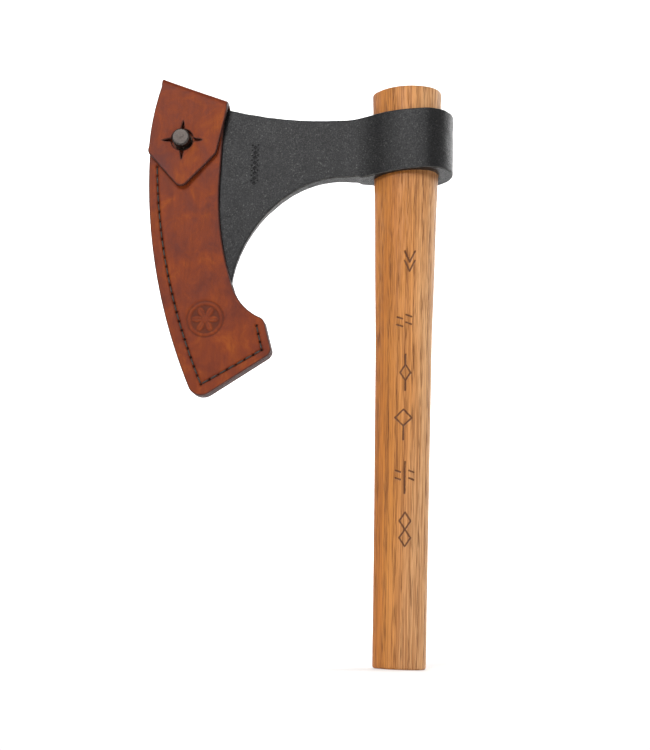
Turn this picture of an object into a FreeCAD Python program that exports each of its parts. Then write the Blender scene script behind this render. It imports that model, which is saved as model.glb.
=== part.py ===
import FreeCAD, Part

import math
import os

import Sketcher
from FreeCAD import Rotation, Vector

# A bearded hatchet with a leather edge sheath, in millimetres.
# +Z runs up the handle to the head, the blade points to -X and the sheath's front faces -Y.
# The origin is the centre of the handle's lower end face.

SIZES = [
    # Handle: an egg-shaped section, narrow towards the blade, whose width grows towards the head.
    ("handle_length", 362.4, "handle, end to end"),
    ("grip_low_level", 100.0, "level of the lower grip section"),
    ("grip_high_level", 200.0, "level of the upper grip section"),
    ("flare_level", 280.0, "level where the straight taper into the eye begins"),
    ("end_width", 31.6, "handle width at its lower end"),
    ("grip_low_width", 33.1, "handle width at the lower grip section"),
    ("grip_high_width", 35.2, "handle width at the upper grip section"),
    ("flare_width", 39.3, "handle width where the straight taper begins"),
    ("top_width", 44.7, "handle width at its top"),
    ("egg_back", 0.30, "radius of the section's back, as a share of its width"),
    ("egg_nose", 0.14, "radius of the section's nose, as a share of its width"),
    ("egg_side", 0.6764, "radius of the section's sides, as a share of its width"),
    ("handle_chamfer", 1.2, "chamfer on both ends of the handle"),
    # Head, seen from the side.
    ("ring_back_x", 31.0, "past the poll, where the plan outline ends the ring"),
    ("ring_top_z", 345.6, "top of the eye ring at the poll"),
    ("ring_shoulder_x", -20.0, "where the ring's top starts down to the neck"),
    ("ring_shoulder_z", 345.1, "top of the ring at that place"),
    ("neck_top_x", -34.0, "start of the hollow top line"),
    ("neck_top_z", 343.5, "start of the hollow top line"),
    ("top_line_radius", 264.5, "hollow top line of the blade"),
    ("toe_x", -149.53, "upper corner of the cutting edge"),
    ("toe_z", 364.42, "upper corner of the cutting edge"),
    ("edge_radius", 356.0, "cutting edge"),
    ("edge_centre_x", 204.0, "centre of the cutting edge's arc"),
    ("edge_centre_z", 323.0, "centre of the cutting edge's arc"),
    ("heel_tip_x", -120.7, "lower corner of the cutting edge"),
    ("heel_tip_z", 177.0, "lower corner of the cutting edge"),
    ("heel_x", -103.4, "inner corner of the beard"),
    ("heel_z", 189.5, "inner corner of the beard"),
    ("beard_low_radius", 85.2, "lower, wider curve of the beard"),
    ("beard_join_x", -75.9, "where the beard's two curves meet"),
    ("beard_join_z", 292.3, "where the beard's two curves meet"),
    ("beard_high_radius", 59.1, "upper, tighter curve of the beard"),
    ("neck_low_x", -41.0, "end of the beard's curve, under the neck"),
    ("neck_low_z", 304.2, "underside of the neck"),
    ("lip_start_x", -31.0, "start of the small lip under the ring"),
    ("lip_end_x", -28.5, "end of the small lip under the ring"),
    ("lip_z", 303.2, "lowest edge of the lip"),
    ("ring_low_z", 306.4, "underside of the ring at the poll"),
    # Head, seen from above: half thicknesses.
    ("poll_centre_x", 11.6, "centre of the round poll"),
    ("ring_half", 18.3, "half thickness of the ring, and radius of the poll"),
    ("cheek_radius", 65.0, "bulging cheek between ring and neck"),
    ("cheek_x", -18.0, "where the cheek turns hollow"),
    ("cheek_half", 11.2, "half thickness there"),
    ("neck_radius", 60.0, "hollow side of the neck"),
    ("neck_x", -43.8, "end of the neck's hollow"),
    ("neck_half", 4.7, "half thickness there"),
    ("blade_x", -103.0, "where the blade reaches its even thickness"),
    ("blade_half", 2.15, "half thickness there"),
    ("front_x", -158.0, "past the cutting edge"),
    ("front_half", 1.9, "half thickness there, before the bevel"),
    ("bevel_start", 330.0, "radius at which the bevel begins"),
    ("bevel_end", 358.0, "radius past the cutting edge"),
    ("bevel_start_half", 2.1, "half thickness at the bevel's start"),
    ("bevel_end_half", 0.15, "half thickness past the cutting edge"),
    ("bevel_clear", 5.0, "height of the cut, above any thickness of the blade"),
    ("block_margin", 10.0, "how much thicker the uncut block is than the ring"),
    ("trim_left", -250.0, "left end of the area trimmed to the plan outline"),
    ("trim_right", 100.0, "right end of that area"),
    ("trim_half", 60.0, "half width of that area"),
    ("axis_half", 10.0, "half length drawn of the bevels' axis"),
    ("eye_low_z", 298.0, "below the ring"),
    ("eye_high_z", 352.0, "above the ring"),
    ("eye_clearance", 0.12, "gap between the handle and the eye, on each side"),
    # Sheath: three layers of leather with one outline.
    ("leather", 3.0, "thickness of each panel"),
    ("welt", 4.5, "thickness of the welt, and so of the pocket"),
    ("flap_gap", 0.3, "gap between the front panel and the flap"),
    ("fold_left_x", -161.5, "left end of the fold line"),
    ("fold_left_z", 366.81, "left end of the fold line"),
    ("fold_right_x", -117.0, "right end of the fold line"),
    ("fold_right_z", 350.05, "right end of the fold line"),
    ("fold_height", 4.4, "inner height of the fold above the fold line"),
    ("fold_bend", 1.5, "inner radius of the fold's two bends"),
    ("front_top_drop", 6.0, "how far the front panel stops below the fold line"),
    ("side_x", -120.5, "straight right edge, lower end"),
    ("side_z", 300.0, "straight right edge, lower end"),
    ("side_radius", 205.0, "long hollow of the right edge"),
    ("instep_x", -108.1, "where the hollow tightens"),
    ("instep_z", 229.8, "where the hollow tightens"),
    ("instep_radius", 34.5, "tight hollow above the boot"),
    ("boot_top_x", -91.5, "upper corner of the boot"),
    ("boot_top_z", 212.3, "upper corner of the boot"),
    ("boot_round", 6.0, "rounding of the boot's corners"),
    ("boot_side_x", -87.2, "upper end of the boot's right edge"),
    ("boot_side_z", 208.2, "upper end of the boot's right edge"),
    ("boot_low_x", -82.6, "lower end of the boot's right edge"),
    ("boot_low_z", 191.5, "lower end of the boot's right edge"),
    ("sole_right_x", -85.7, "right end of the lower edge"),
    ("sole_right_z", 186.2, "right end of the lower edge"),
    ("sole_left_x", -120.3, "left end of the lower edge"),
    ("sole_left_z", 163.2, "left end of the lower edge"),
    ("tip_round", 9.0, "rounding of the lowest corner"),
    ("tip_x", -133.6, "lower end of the long left edge"),
    ("tip_z", 166.0, "lower end of the long left edge"),
    ("long_radius", 371.5, "long left edge"),
    ("widest_x", -167.5, "leftmost point of the leather"),
    ("widest_z", 321.0, "leftmost point of the leather"),
    ("upper_radius", 174.6, "left edge above the leftmost point"),
    # Welt: its inner outline.
    ("welt_top_x", -154.5, "inner corner at the welt's upper end"),
    ("welt_radius", 358.5, "inner edge beside the cutting edge"),
    ("welt_tip_x", -124.6, "inner corner at the lowest corner"),
    ("welt_tip_z", 172.9, "inner corner at the lowest corner"),
    ("welt_heel_x", -95.6, "inner corner inside the boot"),
    ("welt_heel_z", 192.2, "inner corner inside the boot"),
    ("welt_end_x", -98.0, "inner corner at the boot's top"),
    ("welt_end_z", 209.6, "inner corner at the boot's top"),
    # Flap.
    ("flap_left_z", 325.0, "lower end of the flap's left edge"),
    ("flap_left_x", -167.55, "lower end of the flap's left edge"),
    ("flap_round", 5.0, "rounding of the flap's corners"),
    ("flap_corner_x", -165.8, "upper end of the left slant"),
    ("flap_corner_z", 319.0, "upper end of the left slant"),
    ("flap_point_left_x", -148.6, "left side of the flap's point"),
    ("flap_point_left_z", 299.8, "left side of the flap's point"),
    ("flap_point_right_x", -140.9, "right side of the flap's point"),
    ("flap_point_right_z", 300.1, "right side of the flap's point"),
    ("flap_right_x", -122.8, "upper end of the right slant"),
    ("flap_right_z", 320.4, "upper end of the right slant"),
    ("star_tip", 13.2, "reach of the four slits round the stud hole"),
    ("star_inner", 5.4, "offset of the leather's four points, across and up"),
    # Stud and its screw, on one axis along Y.
    ("stud_x", -145.4, "axis of the stud"),
    ("stud_z", 329.4, "axis of the stud"),
    ("stud_flange_radius", 6.2, "flange on the leather"),
    ("stud_flange", 0.85, "thickness of the flange"),
    ("stud_neck_radius", 4.0, "neck inside the flap's hole"),
    ("stud_neck_end", 3.8, "height of the neck's end above the leather"),
    ("stud_radius", 5.85, "head of the stud"),
    ("stud_height", 9.25, "whole height above the leather"),
    ("stud_chamfer", 1.1, "chamfer of the head"),
    ("screw_radius", 1.5, "shank of the screw"),
    ("screw_length", 8.0, "shank of the screw, from the leather's inner face"),
    ("screw_head_radius", 4.5, "flat head of the screw"),
    ("screw_head", 0.8, "thickness of the flat head"),
    # Seam.
    ("thread_radius", 0.6, "waxed thread"),
    ("stitch_pitch", 6.2, "distance from hole to hole"),
    ("stitch_gap", 0.9, "bare leather between two stitches"),
    ("seam_top_x", -161.8, "upper end of the seam"),
    ("seam_top_z", 312.4, "upper end of the seam"),
    ("seam_radius", 400.0, "long curve of the seam"),
    ("seam_tip_x", -125.8, "corner of the seam at the lowest corner"),
    ("seam_tip_z", 168.4, "corner of the seam at the lowest corner"),
    ("seam_heel_x", -88.3, "corner of the seam in the boot"),
    ("seam_heel_z", 190.6, "corner of the seam in the boot"),
    ("seam_end_x", -92.2, "last hole of the seam"),
    ("seam_end_z", 206.2, "last hole of the seam"),
]

doc = FreeCAD.newDocument("hatchet")


def make_sheet():
    """Fill the spreadsheet: a meaning, a number and its alias on each row."""
    sheet = doc.addObject("Spreadsheet::Sheet", "Sizes")
    for row, (alias, value, meaning) in enumerate(SIZES, start=1):
        sheet.set(f"A{row}", meaning)
        sheet.set(f"B{row}", str(value))
        sheet.setAlias(f"B{row}", alias)
    doc.recompute()
    return sheet


sizes = make_sheet()


def size(name):
    """One number of the sheet."""
    return float(sizes.get(name))


def cell(name):
    """The expression that reads one cell; a leading minus mirrors it."""
    if name.startswith("-"):
        return f"-Sizes.{name[1:]}"
    return f"Sizes.{name}"


def value_of(expression):
    """The number that an expression on the sheet gives now."""
    return float(sizes.evalExpression(expression))


def new_body(label):
    body = doc.addObject("PartDesign::Body", label)
    body.Label = label
    return body


def origin_plane(body, role):
    """One of the body's own origin planes."""
    return next(item for item in body.Origin.OriginFeatures if item.Role == role)


def new_sketch(body, name, role, level=None):
    """A sketch on an origin plane, lifted off it by an expression if one is given."""
    sketch = body.newObject("Sketcher::SketchObject", name)
    sketch.AttachmentSupport = [(origin_plane(body, role), "")]
    sketch.MapMode = "FlatFace"
    if level:
        sketch.setExpression("AttachmentOffset.Base.z", level)
    return sketch


def bind(sketch, constraint, expression):
    """Add a dimension to a sketch and tie it to the sheet."""
    index = sketch.addConstraint(constraint)
    sketch.setExpression(f"Constraints[{index}]", expression)


def arc_between(start, end, radius, side):
    """The shorter arc between two points; side 1 has its centre left of the way, -1 right."""
    middle = (start + end) * 0.5
    way = end - start
    left = Vector(-way.y, way.x, 0).normalize()
    reach = math.sqrt(radius ** 2 - (way.Length / 2) ** 2)
    centre = middle + left * (side * reach)
    crown = centre - left * (side * radius)
    return Part.Arc(start, crown, end)


def fix_point(sketch, geometry, end, x_expression, y_expression):
    """Hold one end of a sketch line or arc at a place given by two expressions."""
    x_value = value_of(x_expression)
    y_value = value_of(y_expression)
    bind(sketch, Sketcher.Constraint("DistanceX", -1, 1, geometry, end, x_value), x_expression)
    bind(sketch, Sketcher.Constraint("DistanceY", -1, 1, geometry, end, y_value), y_expression)


def outline(sketch, corners):
    """Draw a closed outline: each corner has two expressions and, before an arc, a radius and a side."""
    points = [Vector(value_of(corner[0]), value_of(corner[1]), 0) for corner in corners]
    ends = []
    for number, corner in enumerate(corners):
        start = points[number]
        end = points[(number + 1) % len(points)]
        if len(corner) == 2:
            geometry = sketch.addGeometry(Part.LineSegment(start, end))
            ends.append((geometry, 1, 2))
            continue
        radius, side = value_of(corner[2]), corner[3]
        geometry = sketch.addGeometry(arc_between(start, end, radius, side))
        # A sketch keeps every arc anticlockwise, so one with its centre on the right starts at its end.
        ends.append((geometry, 1, 2) if side > 0 else (geometry, 2, 1))
        bind(sketch, Sketcher.Constraint("Radius", geometry, radius), corner[2])
    for number, (geometry, start, end) in enumerate(ends):
        follower, follower_start, unused_end = ends[(number + 1) % len(ends)]
        sketch.addConstraint(Sketcher.Constraint("Coincident", geometry, end, follower, follower_start))
        fix_point(sketch, geometry, start, corners[number][0], corners[number][1])


def corner(name, radius=None, side=1, across="z"):
    """A corner whose place is in the cells NAME_x and NAME_z, followed by a line or an arc."""
    place = (cell(f"{name}_x"), cell(f"{name}_{across}"))
    if radius:
        return place + (cell(radius), side)
    return place


def pad(body, sketch, name, length, both_ways=False):
    feature = body.newObject("PartDesign::Pad", name)
    feature.Profile = sketch
    feature.Midplane = both_ways
    feature.setExpression("Length", length)
    return feature


def cut_through(body, sketch, name):
    """Cut a sketch's area out of the whole body, both ways."""
    before = body.Shape.Volume
    feature = body.newObject("PartDesign::Pocket", name)
    feature.Profile = sketch
    feature.Type = 1
    feature.Midplane = True
    doc.recompute()
    if not body.Shape.Volume < before:
        raise RuntimeError(f"{name} removed nothing")


def egg_sketch(body, name, level, width):
    """The handle's section: nose, back and two side arcs, tangent to each other, scaled by its width."""
    sketch = new_sketch(body, name, "XY_Plane", level)
    wide = value_of(width)
    nose_radius = wide * size("egg_nose")
    back_radius = wide * size("egg_back")
    side_radius = wide * size("egg_side")
    nose = Vector(nose_radius - wide / 2, 0, 0)
    back = Vector(wide / 2 - back_radius, 0, 0)
    # The sides' centre is at side minus nose from the nose's centre and side minus back from the back's.
    to_nose = side_radius - nose_radius
    to_back = side_radius - back_radius
    apart = (back - nose).Length
    along = (to_nose ** 2 - to_back ** 2 + apart ** 2) / (2 * apart)
    side_y = math.sqrt(to_nose ** 2 - along ** 2)
    nose_angle = math.atan2(side_y, -along)
    back_angle = math.atan2(side_y, apart - along)
    side_x = nose.x + along
    up = Vector(0, 0, 1)
    pieces = [
        (Vector(side_x, -side_y, 0), side_radius, back_angle, nose_angle),
        (nose, nose_radius, nose_angle, 2 * math.pi - nose_angle),
        (Vector(side_x, side_y, 0), side_radius, -nose_angle, -back_angle),
        (back, back_radius, -back_angle, back_angle),
    ]
    for centre, radius, first, last in pieces:
        sketch.addGeometry(Part.ArcOfCircle(Part.Circle(centre, up, radius), first, last))
    for number in range(4):
        sketch.addConstraint(Sketcher.Constraint("Tangent", number, 2, (number + 1) % 4, 1))
    for number in (1, 3):
        sketch.addConstraint(Sketcher.Constraint("PointOnObject", number, 3, -1))
    shares = ("egg_side", "egg_nose", "egg_side", "egg_back")
    for number, share in enumerate(shares):
        radius = pieces[number][1]
        bind(sketch, Sketcher.Constraint("Radius", number, radius), f"({width}) * Sizes.{share}")
    nose_x = f"({width}) * (Sizes.egg_nose - 0.5)"
    back_x = f"({width}) * (0.5 - Sizes.egg_back)"
    bind(sketch, Sketcher.Constraint("DistanceX", -1, 1, 1, 3, nose.x), nose_x)
    bind(sketch, Sketcher.Constraint("DistanceX", -1, 1, 3, 3, back.x), back_x)
    return sketch


def loft(body, kind, name, sketches):
    """A straight-sided loft through sections, added to or cut from a body."""
    feature = body.newObject(f"PartDesign::{kind}", name)
    feature.Profile = sketches[0]
    feature.Sections = sketches[1:]
    feature.Ruled = True
    doc.recompute()
    return feature


def handle_width_at(level):
    """Width of the handle on its straight taper, at a level above the flare."""
    rise = f"({level} - Sizes.flare_level) / (Sizes.handle_length - Sizes.flare_level)"
    return f"Sizes.flare_width + (Sizes.top_width - Sizes.flare_width) * {rise}"


def make_handle():
    """Hickory handle: sections from the lower end to the top, the end ones drawn in as a chamfer."""
    body = new_body("handle")
    bevel = "Sizes.handle_chamfer"
    last_level = f"Sizes.handle_length - {bevel}"
    stations = [
        ("end_face", "0", f"Sizes.end_width - 2 * {bevel}"),
        ("end", bevel, "Sizes.end_width"),
        ("grip_low", "Sizes.grip_low_level", "Sizes.grip_low_width"),
        ("grip_high", "Sizes.grip_high_level", "Sizes.grip_high_width"),
        ("flare", "Sizes.flare_level", "Sizes.flare_width"),
        ("top", last_level, handle_width_at(f"({last_level})")),
        ("top_face", "Sizes.handle_length", f"Sizes.top_width - 2 * {bevel}"),
    ]
    sections = [egg_sketch(body, f"{name}_section", level, width) for name, level, width in stations]
    loft(body, "AdditiveLoft", "handle_wood", sections)
    return body


def make_head():
    """Forged head: side outline, trimmed to the plan outline, bevelled, with the eye cut out."""
    body = new_body("axe_head")
    side = new_sketch(body, "head_side", "XZ_Plane")
    outline(side, [
        (cell("ring_back_x"), cell("ring_top_z")),
        corner("ring_shoulder"),
        corner("neck_top", "top_line_radius", -1),
        corner("toe", "edge_radius", 1),
        corner("heel_tip"),
        corner("heel", "beard_low_radius", -1),
        corner("beard_join", "beard_high_radius", -1),
        corner("neck_low"),
        (cell("lip_start_x"), cell("neck_low_z")),
        (cell("lip_end_x"), cell("lip_z")),
        (cell("ring_back_x"), cell("ring_low_z")),
    ])
    pad(body, side, "head_block", "2 * Sizes.ring_half + Sizes.block_margin", both_ways=True)
    doc.recompute()
    plan = new_sketch(body, "head_plan", "XY_Plane")
    upper = [
        ("poll_centre", "ring_half", "cheek_radius", 1),
        ("cheek", "cheek_half", "neck_radius", -1),
        ("neck", "neck_half", None, 1),
        ("blade", "blade_half", None, 1),
        ("front", "front_half", None, 1),
    ]
    corners = []
    for name, half, radius, turn in upper:
        place = (cell(f"{name}_x"), cell(half))
        corners.append(place + (cell(radius), turn) if radius else place)
    radii = [(None, 1), (None, 1), ("neck_radius", -1), ("cheek_radius", 1)]
    for (name, half, unused_radius, unused_turn), (radius, turn) in zip(reversed(upper), radii):
        place = (cell(f"{name}_x"), cell(f"-{half}"))
        corners.append(place + (cell(radius), turn) if radius else place)
    lowest = (cell("poll_centre_x"), cell("-ring_half"), cell("ring_half"), 1)
    poll = ("Sizes.poll_centre_x + Sizes.ring_half", "0", cell("ring_half"), 1)
    outline(plan, corners + [lowest, poll])
    low, high = cell("-trim_half"), cell("trim_half")
    left, right = cell("trim_left"), cell("trim_right")
    outline(plan, [(left, low), (right, low), (right, high), (left, high)])
    cut_through(body, plan, "trim_to_plan")
    make_bevel(body)
    eye = []
    for name in ("eye_low", "eye_high"):
        level = cell(f"{name}_z")
        width = f"{handle_width_at(level)} + 2 * Sizes.eye_clearance"
        eye.append(egg_sketch(body, f"{name}_section", level, width))
    before = body.Shape.Volume
    loft(body, "SubtractiveLoft", "eye", eye)
    if not body.Shape.Volume < before:
        raise RuntimeError("the eye removed nothing")
    return body


def make_bevel(body):
    """Turn the blade's two bevels about the centre of the cutting edge's arc."""
    sketch = new_sketch(body, "bevel_cut", "XY_Plane", "Sizes.edge_centre_z")
    start_x = "Sizes.edge_centre_x - Sizes.bevel_start"
    end_x = "Sizes.edge_centre_x - Sizes.bevel_end"
    for sign in ("", "-"):
        outline(sketch, [
            (start_x, cell(f"{sign}bevel_start_half")),
            (end_x, cell(f"{sign}bevel_end_half")),
            (end_x, cell(f"{sign}bevel_clear")),
            (start_x, cell(f"{sign}bevel_clear")),
        ])
    centre_x = size("edge_centre_x")
    half = size("axis_half")
    axis_line = Part.LineSegment(Vector(centre_x, -half, 0), Vector(centre_x, half, 0))
    axis = sketch.addGeometry(axis_line, True)
    fix_point(sketch, axis, 1, "Sizes.edge_centre_x", "-Sizes.axis_half")
    fix_point(sketch, axis, 2, "Sizes.edge_centre_x", "Sizes.axis_half")
    before = body.Shape.Volume
    groove = body.newObject("PartDesign::Groove", "bevels")
    groove.Profile = sketch
    groove.ReferenceAxis = (sketch, ["Axis0"])
    groove.Angle = 360
    doc.recompute()
    if not body.Shape.Volume < before:
        raise RuntimeError("the bevels removed nothing")


def lower_outline():
    """The leather's edge from the side's lower end, round the boot and up to the leftmost point."""
    return [
        corner("side", "side_radius", 1),
        corner("instep", "instep_radius", 1),
        corner("boot_top", "boot_round", -1),
        corner("boot_side"),
        corner("boot_low", "boot_round", -1),
        corner("sole_right"),
        corner("sole_left", "tip_round", -1),
        corner("tip", "long_radius", -1),
        corner("widest", "upper_radius", -1),
    ]


def leather_body(label, corners, thickness, back_face):
    """A flat piece of leather whose outline is extruded forwards from its back face."""
    body = new_body(label)
    sketch = new_sketch(body, f"{label}_outline", "XZ_Plane")
    outline(sketch, corners)
    pad(body, sketch, f"{label}_leather", thickness)
    body.setExpression("Placement.Base.y", back_face)
    doc.recompute()
    return body


def make_back_panel():
    """Back panel, up to the fold line."""
    corners = [corner("fold_left"), corner("fold_right")] + lower_outline()
    return leather_body("sheath_back_panel", corners, "Sizes.leather", "Sizes.welt / 2 + Sizes.leather")


def make_front_panel():
    """Front panel, which stops under the flap, with the stud's hole and its screw head's recess."""
    drop = "Sizes.front_top_drop"
    corners = [
        (cell("fold_left_x"), f"Sizes.fold_left_z - {drop}"),
        (cell("fold_right_x"), f"Sizes.fold_right_z - {drop}"),
    ]
    corners += lower_outline()
    body = leather_body("sheath_front_panel", corners, "Sizes.leather", "-Sizes.welt / 2")
    hole = new_sketch(body, "stud_hole", "XZ_Plane")
    draw_circle(hole, "Sizes.screw_radius")
    cut_through(body, hole, "stud_hole_cut")
    recess = new_sketch(body, "screw_recess", "XZ_Plane")
    draw_circle(recess, "Sizes.screw_head_radius")
    pocket = body.newObject("PartDesign::Pocket", "screw_recess_cut")
    pocket.Profile = recess
    before = body.Shape.Volume
    pocket.Reversed = True
    pocket.setExpression("Length", "Sizes.screw_head")
    doc.recompute()
    if not body.Shape.Volume < before:
        raise RuntimeError("the screw's recess removed nothing")
    return body


def draw_circle(sketch, radius):
    """A circle on the stud's axis."""
    centre = Vector(size("stud_x"), size("stud_z"), 0)
    circle = sketch.addGeometry(Part.Circle(centre, Vector(0, 0, 1), value_of(radius)))
    fix_point(sketch, circle, 3, "Sizes.stud_x", "Sizes.stud_z")
    bind(sketch, Sketcher.Constraint("Radius", circle, value_of(radius)), radius)


def make_welt():
    """Welt: the strip of leather between the panels, which keeps the cutting edge off the stitches."""
    edge = lower_outline()[2:-1]
    top = (cell("widest_x"), cell("widest_z"))
    inner = [
        (cell("welt_top_x"), cell("widest_z"), cell("welt_radius"), 1),
        corner("welt_tip"),
        corner("welt_heel"),
        corner("welt_end"),
    ]
    return leather_body("sheath_welt", edge + [top] + inner, "Sizes.welt", "Sizes.welt / 2")


def make_flap():
    """Closing flap with a star-shaped buttonhole: four slits that let the stud's head through."""
    corners = [
        corner("fold_left", "upper_radius", 1),
        corner("flap_left", "flap_round", 1),
        corner("flap_corner"),
        corner("flap_point_left", "flap_round", 1),
        corner("flap_point_right"),
        corner("flap_right"),
        corner("fold_right"),
    ]
    back_face = "-Sizes.welt / 2 - Sizes.leather - Sizes.flap_gap"
    body = leather_body("closing_flap", corners, "Sizes.leather", back_face)
    star = new_sketch(body, "buttonhole", "XZ_Plane")
    points = []
    for across, up in ((1, 0), (0, 1), (-1, 0), (0, -1)):
        tip = (f"Sizes.stud_x + {across} * Sizes.star_tip", f"Sizes.stud_z + {up} * Sizes.star_tip")
        side_x, side_z = across - up, across + up
        between = (f"Sizes.stud_x + {side_x} * Sizes.star_inner", f"Sizes.stud_z + {side_z} * Sizes.star_inner")
        points += [tip, between]
    outline(star, points)
    cut_through(body, star, "buttonhole_cut")
    return body


def make_fold():
    """Bend of the same hide over the blade's top line: a channel along the fold line."""
    body = new_body("flap_fold")
    inner_half = "(Sizes.welt + Sizes.leather + Sizes.flap_gap) / 2"
    outer_half = f"({inner_half} + Sizes.leather)"
    inner_bend = "Sizes.fold_bend"
    outer_bend = "(Sizes.fold_bend + Sizes.leather)"
    inner_top = "Sizes.fold_height"
    outer_top = "(Sizes.fold_height + Sizes.leather)"
    sketch = new_sketch(body, "fold_section", "YZ_Plane")
    outline(sketch, [
        (outer_half, "0"),
        (outer_half, f"{outer_top} - {outer_bend}", outer_bend, 1),
        (f"{outer_half} - {outer_bend}", outer_top),
        (f"{outer_bend} - {outer_half}", outer_top, outer_bend, 1),
        (f"-{outer_half}", f"{outer_top} - {outer_bend}"),
        (f"-{outer_half}", "0"),
        (f"-{inner_half}", "0"),
        (f"-{inner_half}", f"{inner_top} - {inner_bend}", inner_bend, -1),
        (f"{inner_bend} - {inner_half}", inner_top),
        (f"{inner_half} - {inner_bend}", inner_top, inner_bend, -1),
        (inner_half, f"{inner_top} - {inner_bend}"),
        (inner_half, "0"),
    ])
    across = "(Sizes.fold_right_x - Sizes.fold_left_x)"
    drop = "(Sizes.fold_left_z - Sizes.fold_right_z)"
    pad(body, sketch, "fold_leather", f"sqrt({across} ^ 2 + {drop} ^ 2)")
    slope = math.degrees(math.atan2(value_of(drop), value_of(across)))
    body.Placement = FreeCAD.Placement(Vector(0, 0, 0), Rotation(Vector(0, 1, 0), slope))
    body.setExpression("Placement.Base.x", "Sizes.fold_left_x")
    body.setExpression("Placement.Base.y", "-(Sizes.leather + Sizes.flap_gap) / 2")
    body.setExpression("Placement.Base.z", "Sizes.fold_left_z")
    return body


def turned(label, profile, base_y):
    """A turned piece on the stud's axis; the profile has a radius and a height above the base."""
    body = new_body(label)
    sketch = new_sketch(body, f"{label}_profile", "XY_Plane")
    outline(sketch, [(radius, f"-({height})") for radius, height in profile])
    turn = body.newObject("PartDesign::Revolution", f"{label}_turned")
    turn.Profile = sketch
    turn.ReferenceAxis = (sketch, ["V_Axis"])
    turn.Angle = 360
    body.setExpression("Placement.Base.x", "Sizes.stud_x")
    body.setExpression("Placement.Base.y", base_y)
    body.setExpression("Placement.Base.z", "Sizes.stud_z")
    return body


def make_stud():
    """Steel closing stud: flange, neck and chamfered head, bored for its screw."""
    bore = "Sizes.screw_radius"
    bore_end = "Sizes.screw_length - Sizes.leather"
    profile = [
        (bore, "0"),
        ("Sizes.stud_flange_radius", "0"),
        ("Sizes.stud_flange_radius", "Sizes.stud_flange"),
        ("Sizes.stud_neck_radius", "Sizes.stud_flange"),
        ("Sizes.stud_neck_radius", "Sizes.stud_neck_end"),
        ("Sizes.stud_radius", "Sizes.stud_neck_end"),
        ("Sizes.stud_radius", "Sizes.stud_height - Sizes.stud_chamfer"),
        ("Sizes.stud_radius - Sizes.stud_chamfer", "Sizes.stud_height"),
        ("0", "Sizes.stud_height"),
        ("0", bore_end),
        (bore, bore_end),
    ]
    return turned("closure_stud", profile, "-Sizes.welt / 2 - Sizes.leather")


def make_screw():
    """Screw that holds the stud from inside the pocket, its flat head sunk in the leather."""
    profile = [
        ("0", "0"),
        ("Sizes.screw_head_radius", "0"),
        ("Sizes.screw_head_radius", "Sizes.screw_head"),
        ("Sizes.screw_radius", "Sizes.screw_head"),
        ("Sizes.screw_radius", "Sizes.screw_length"),
        ("0", "Sizes.screw_length"),
    ]
    return turned("stud_screw", profile, "-Sizes.welt / 2")


def seam_holes():
    """Hole places along the seam: down the long curve, along the lower edge and up the boot."""
    names = ("seam_top", "seam_tip", "seam_heel", "seam_end")
    top, tip, heel, end = [Vector(size(f"{name}_x"), size(f"{name}_z"), 0) for name in names]
    curve = arc_between(top, tip, size("seam_radius"), 1).toShape()
    runs = [curve, Part.makeLine(tip, heel), Part.makeLine(heel, end)]
    holes = [top]
    for run in runs:
        steps = max(1, round(run.Length / size("stitch_pitch")))
        holes += run.discretize(Number=steps + 1)[1:]
    return holes


def make_seam(label, face_y, outward):
    """One thread's stitches: half-round bars on a leather face, one between each pair of holes."""
    radius = size("thread_radius")
    holes = seam_holes()
    # Each bar keeps only its half outside the leather, inside a block larger than the sheath.
    reach, depth = size("handle_length"), 4 * radius
    corner_y = face_y if outward > 0 else face_y - depth
    outside = Part.makeBox(reach, depth, reach, Vector(-reach, corner_y, 0))
    bars = []
    for start, end in zip(holes, holes[1:]):
        way = (end - start).normalize()
        first = start + way * (size("stitch_gap") / 2)
        length = (end - start).Length - size("stitch_gap")
        foot = Vector(first.x, face_y, first.y)
        direction = Vector(way.x, 0, way.y)
        bar = Part.makeCylinder(radius, length, foot, direction)
        bars.append(bar.common(outside).Solids[0])
    seam = doc.addObject("Part::Feature", label)
    seam.Label = label
    seam.Shape = Part.makeCompound(bars)
    return seam


def check(parts):
    """Refuse any failed object and any shape that isn't whole."""
    for item in doc.Objects:
        if "Invalid" in item.State or "Error" in item.State:
            raise RuntimeError(f"{item.Label} failed: {item.State}")
    for part in parts:
        if part.Shape.isNull() or not part.Shape.isValid():
            raise RuntimeError(f"{part.Label} has no valid shape")


face = size("welt") / 2 + size("leather")
parts = [
    make_head(),
    make_handle(),
    make_back_panel(),
    make_front_panel(),
    make_welt(),
    make_fold(),
    make_flap(),
    make_stud(),
    make_screw(),
    make_seam("seam_front_thread", -face, -1),
    make_seam("seam_back_thread", face, 1),
]
doc.recompute()
check(parts)
os.makedirs("parts", exist_ok=True)
for part in parts:
    part.Shape.exportStep(f"parts/{part.Label}.step")
    box = part.Shape.BoundBox
    print(f"{part.Label}: {len(part.Shape.Solids)} solids, {part.Shape.Volume / 1000:.2f} cm3,",
          f"x {box.XMin:.1f}..{box.XMax:.1f} y {box.YMin:.2f}..{box.YMax:.2f} z {box.ZMin:.1f}..{box.ZMax:.1f}")
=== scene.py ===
import math
from functools import partial

import bmesh
import bpy
import numpy as np
from mathutils import Matrix, Vector


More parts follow.
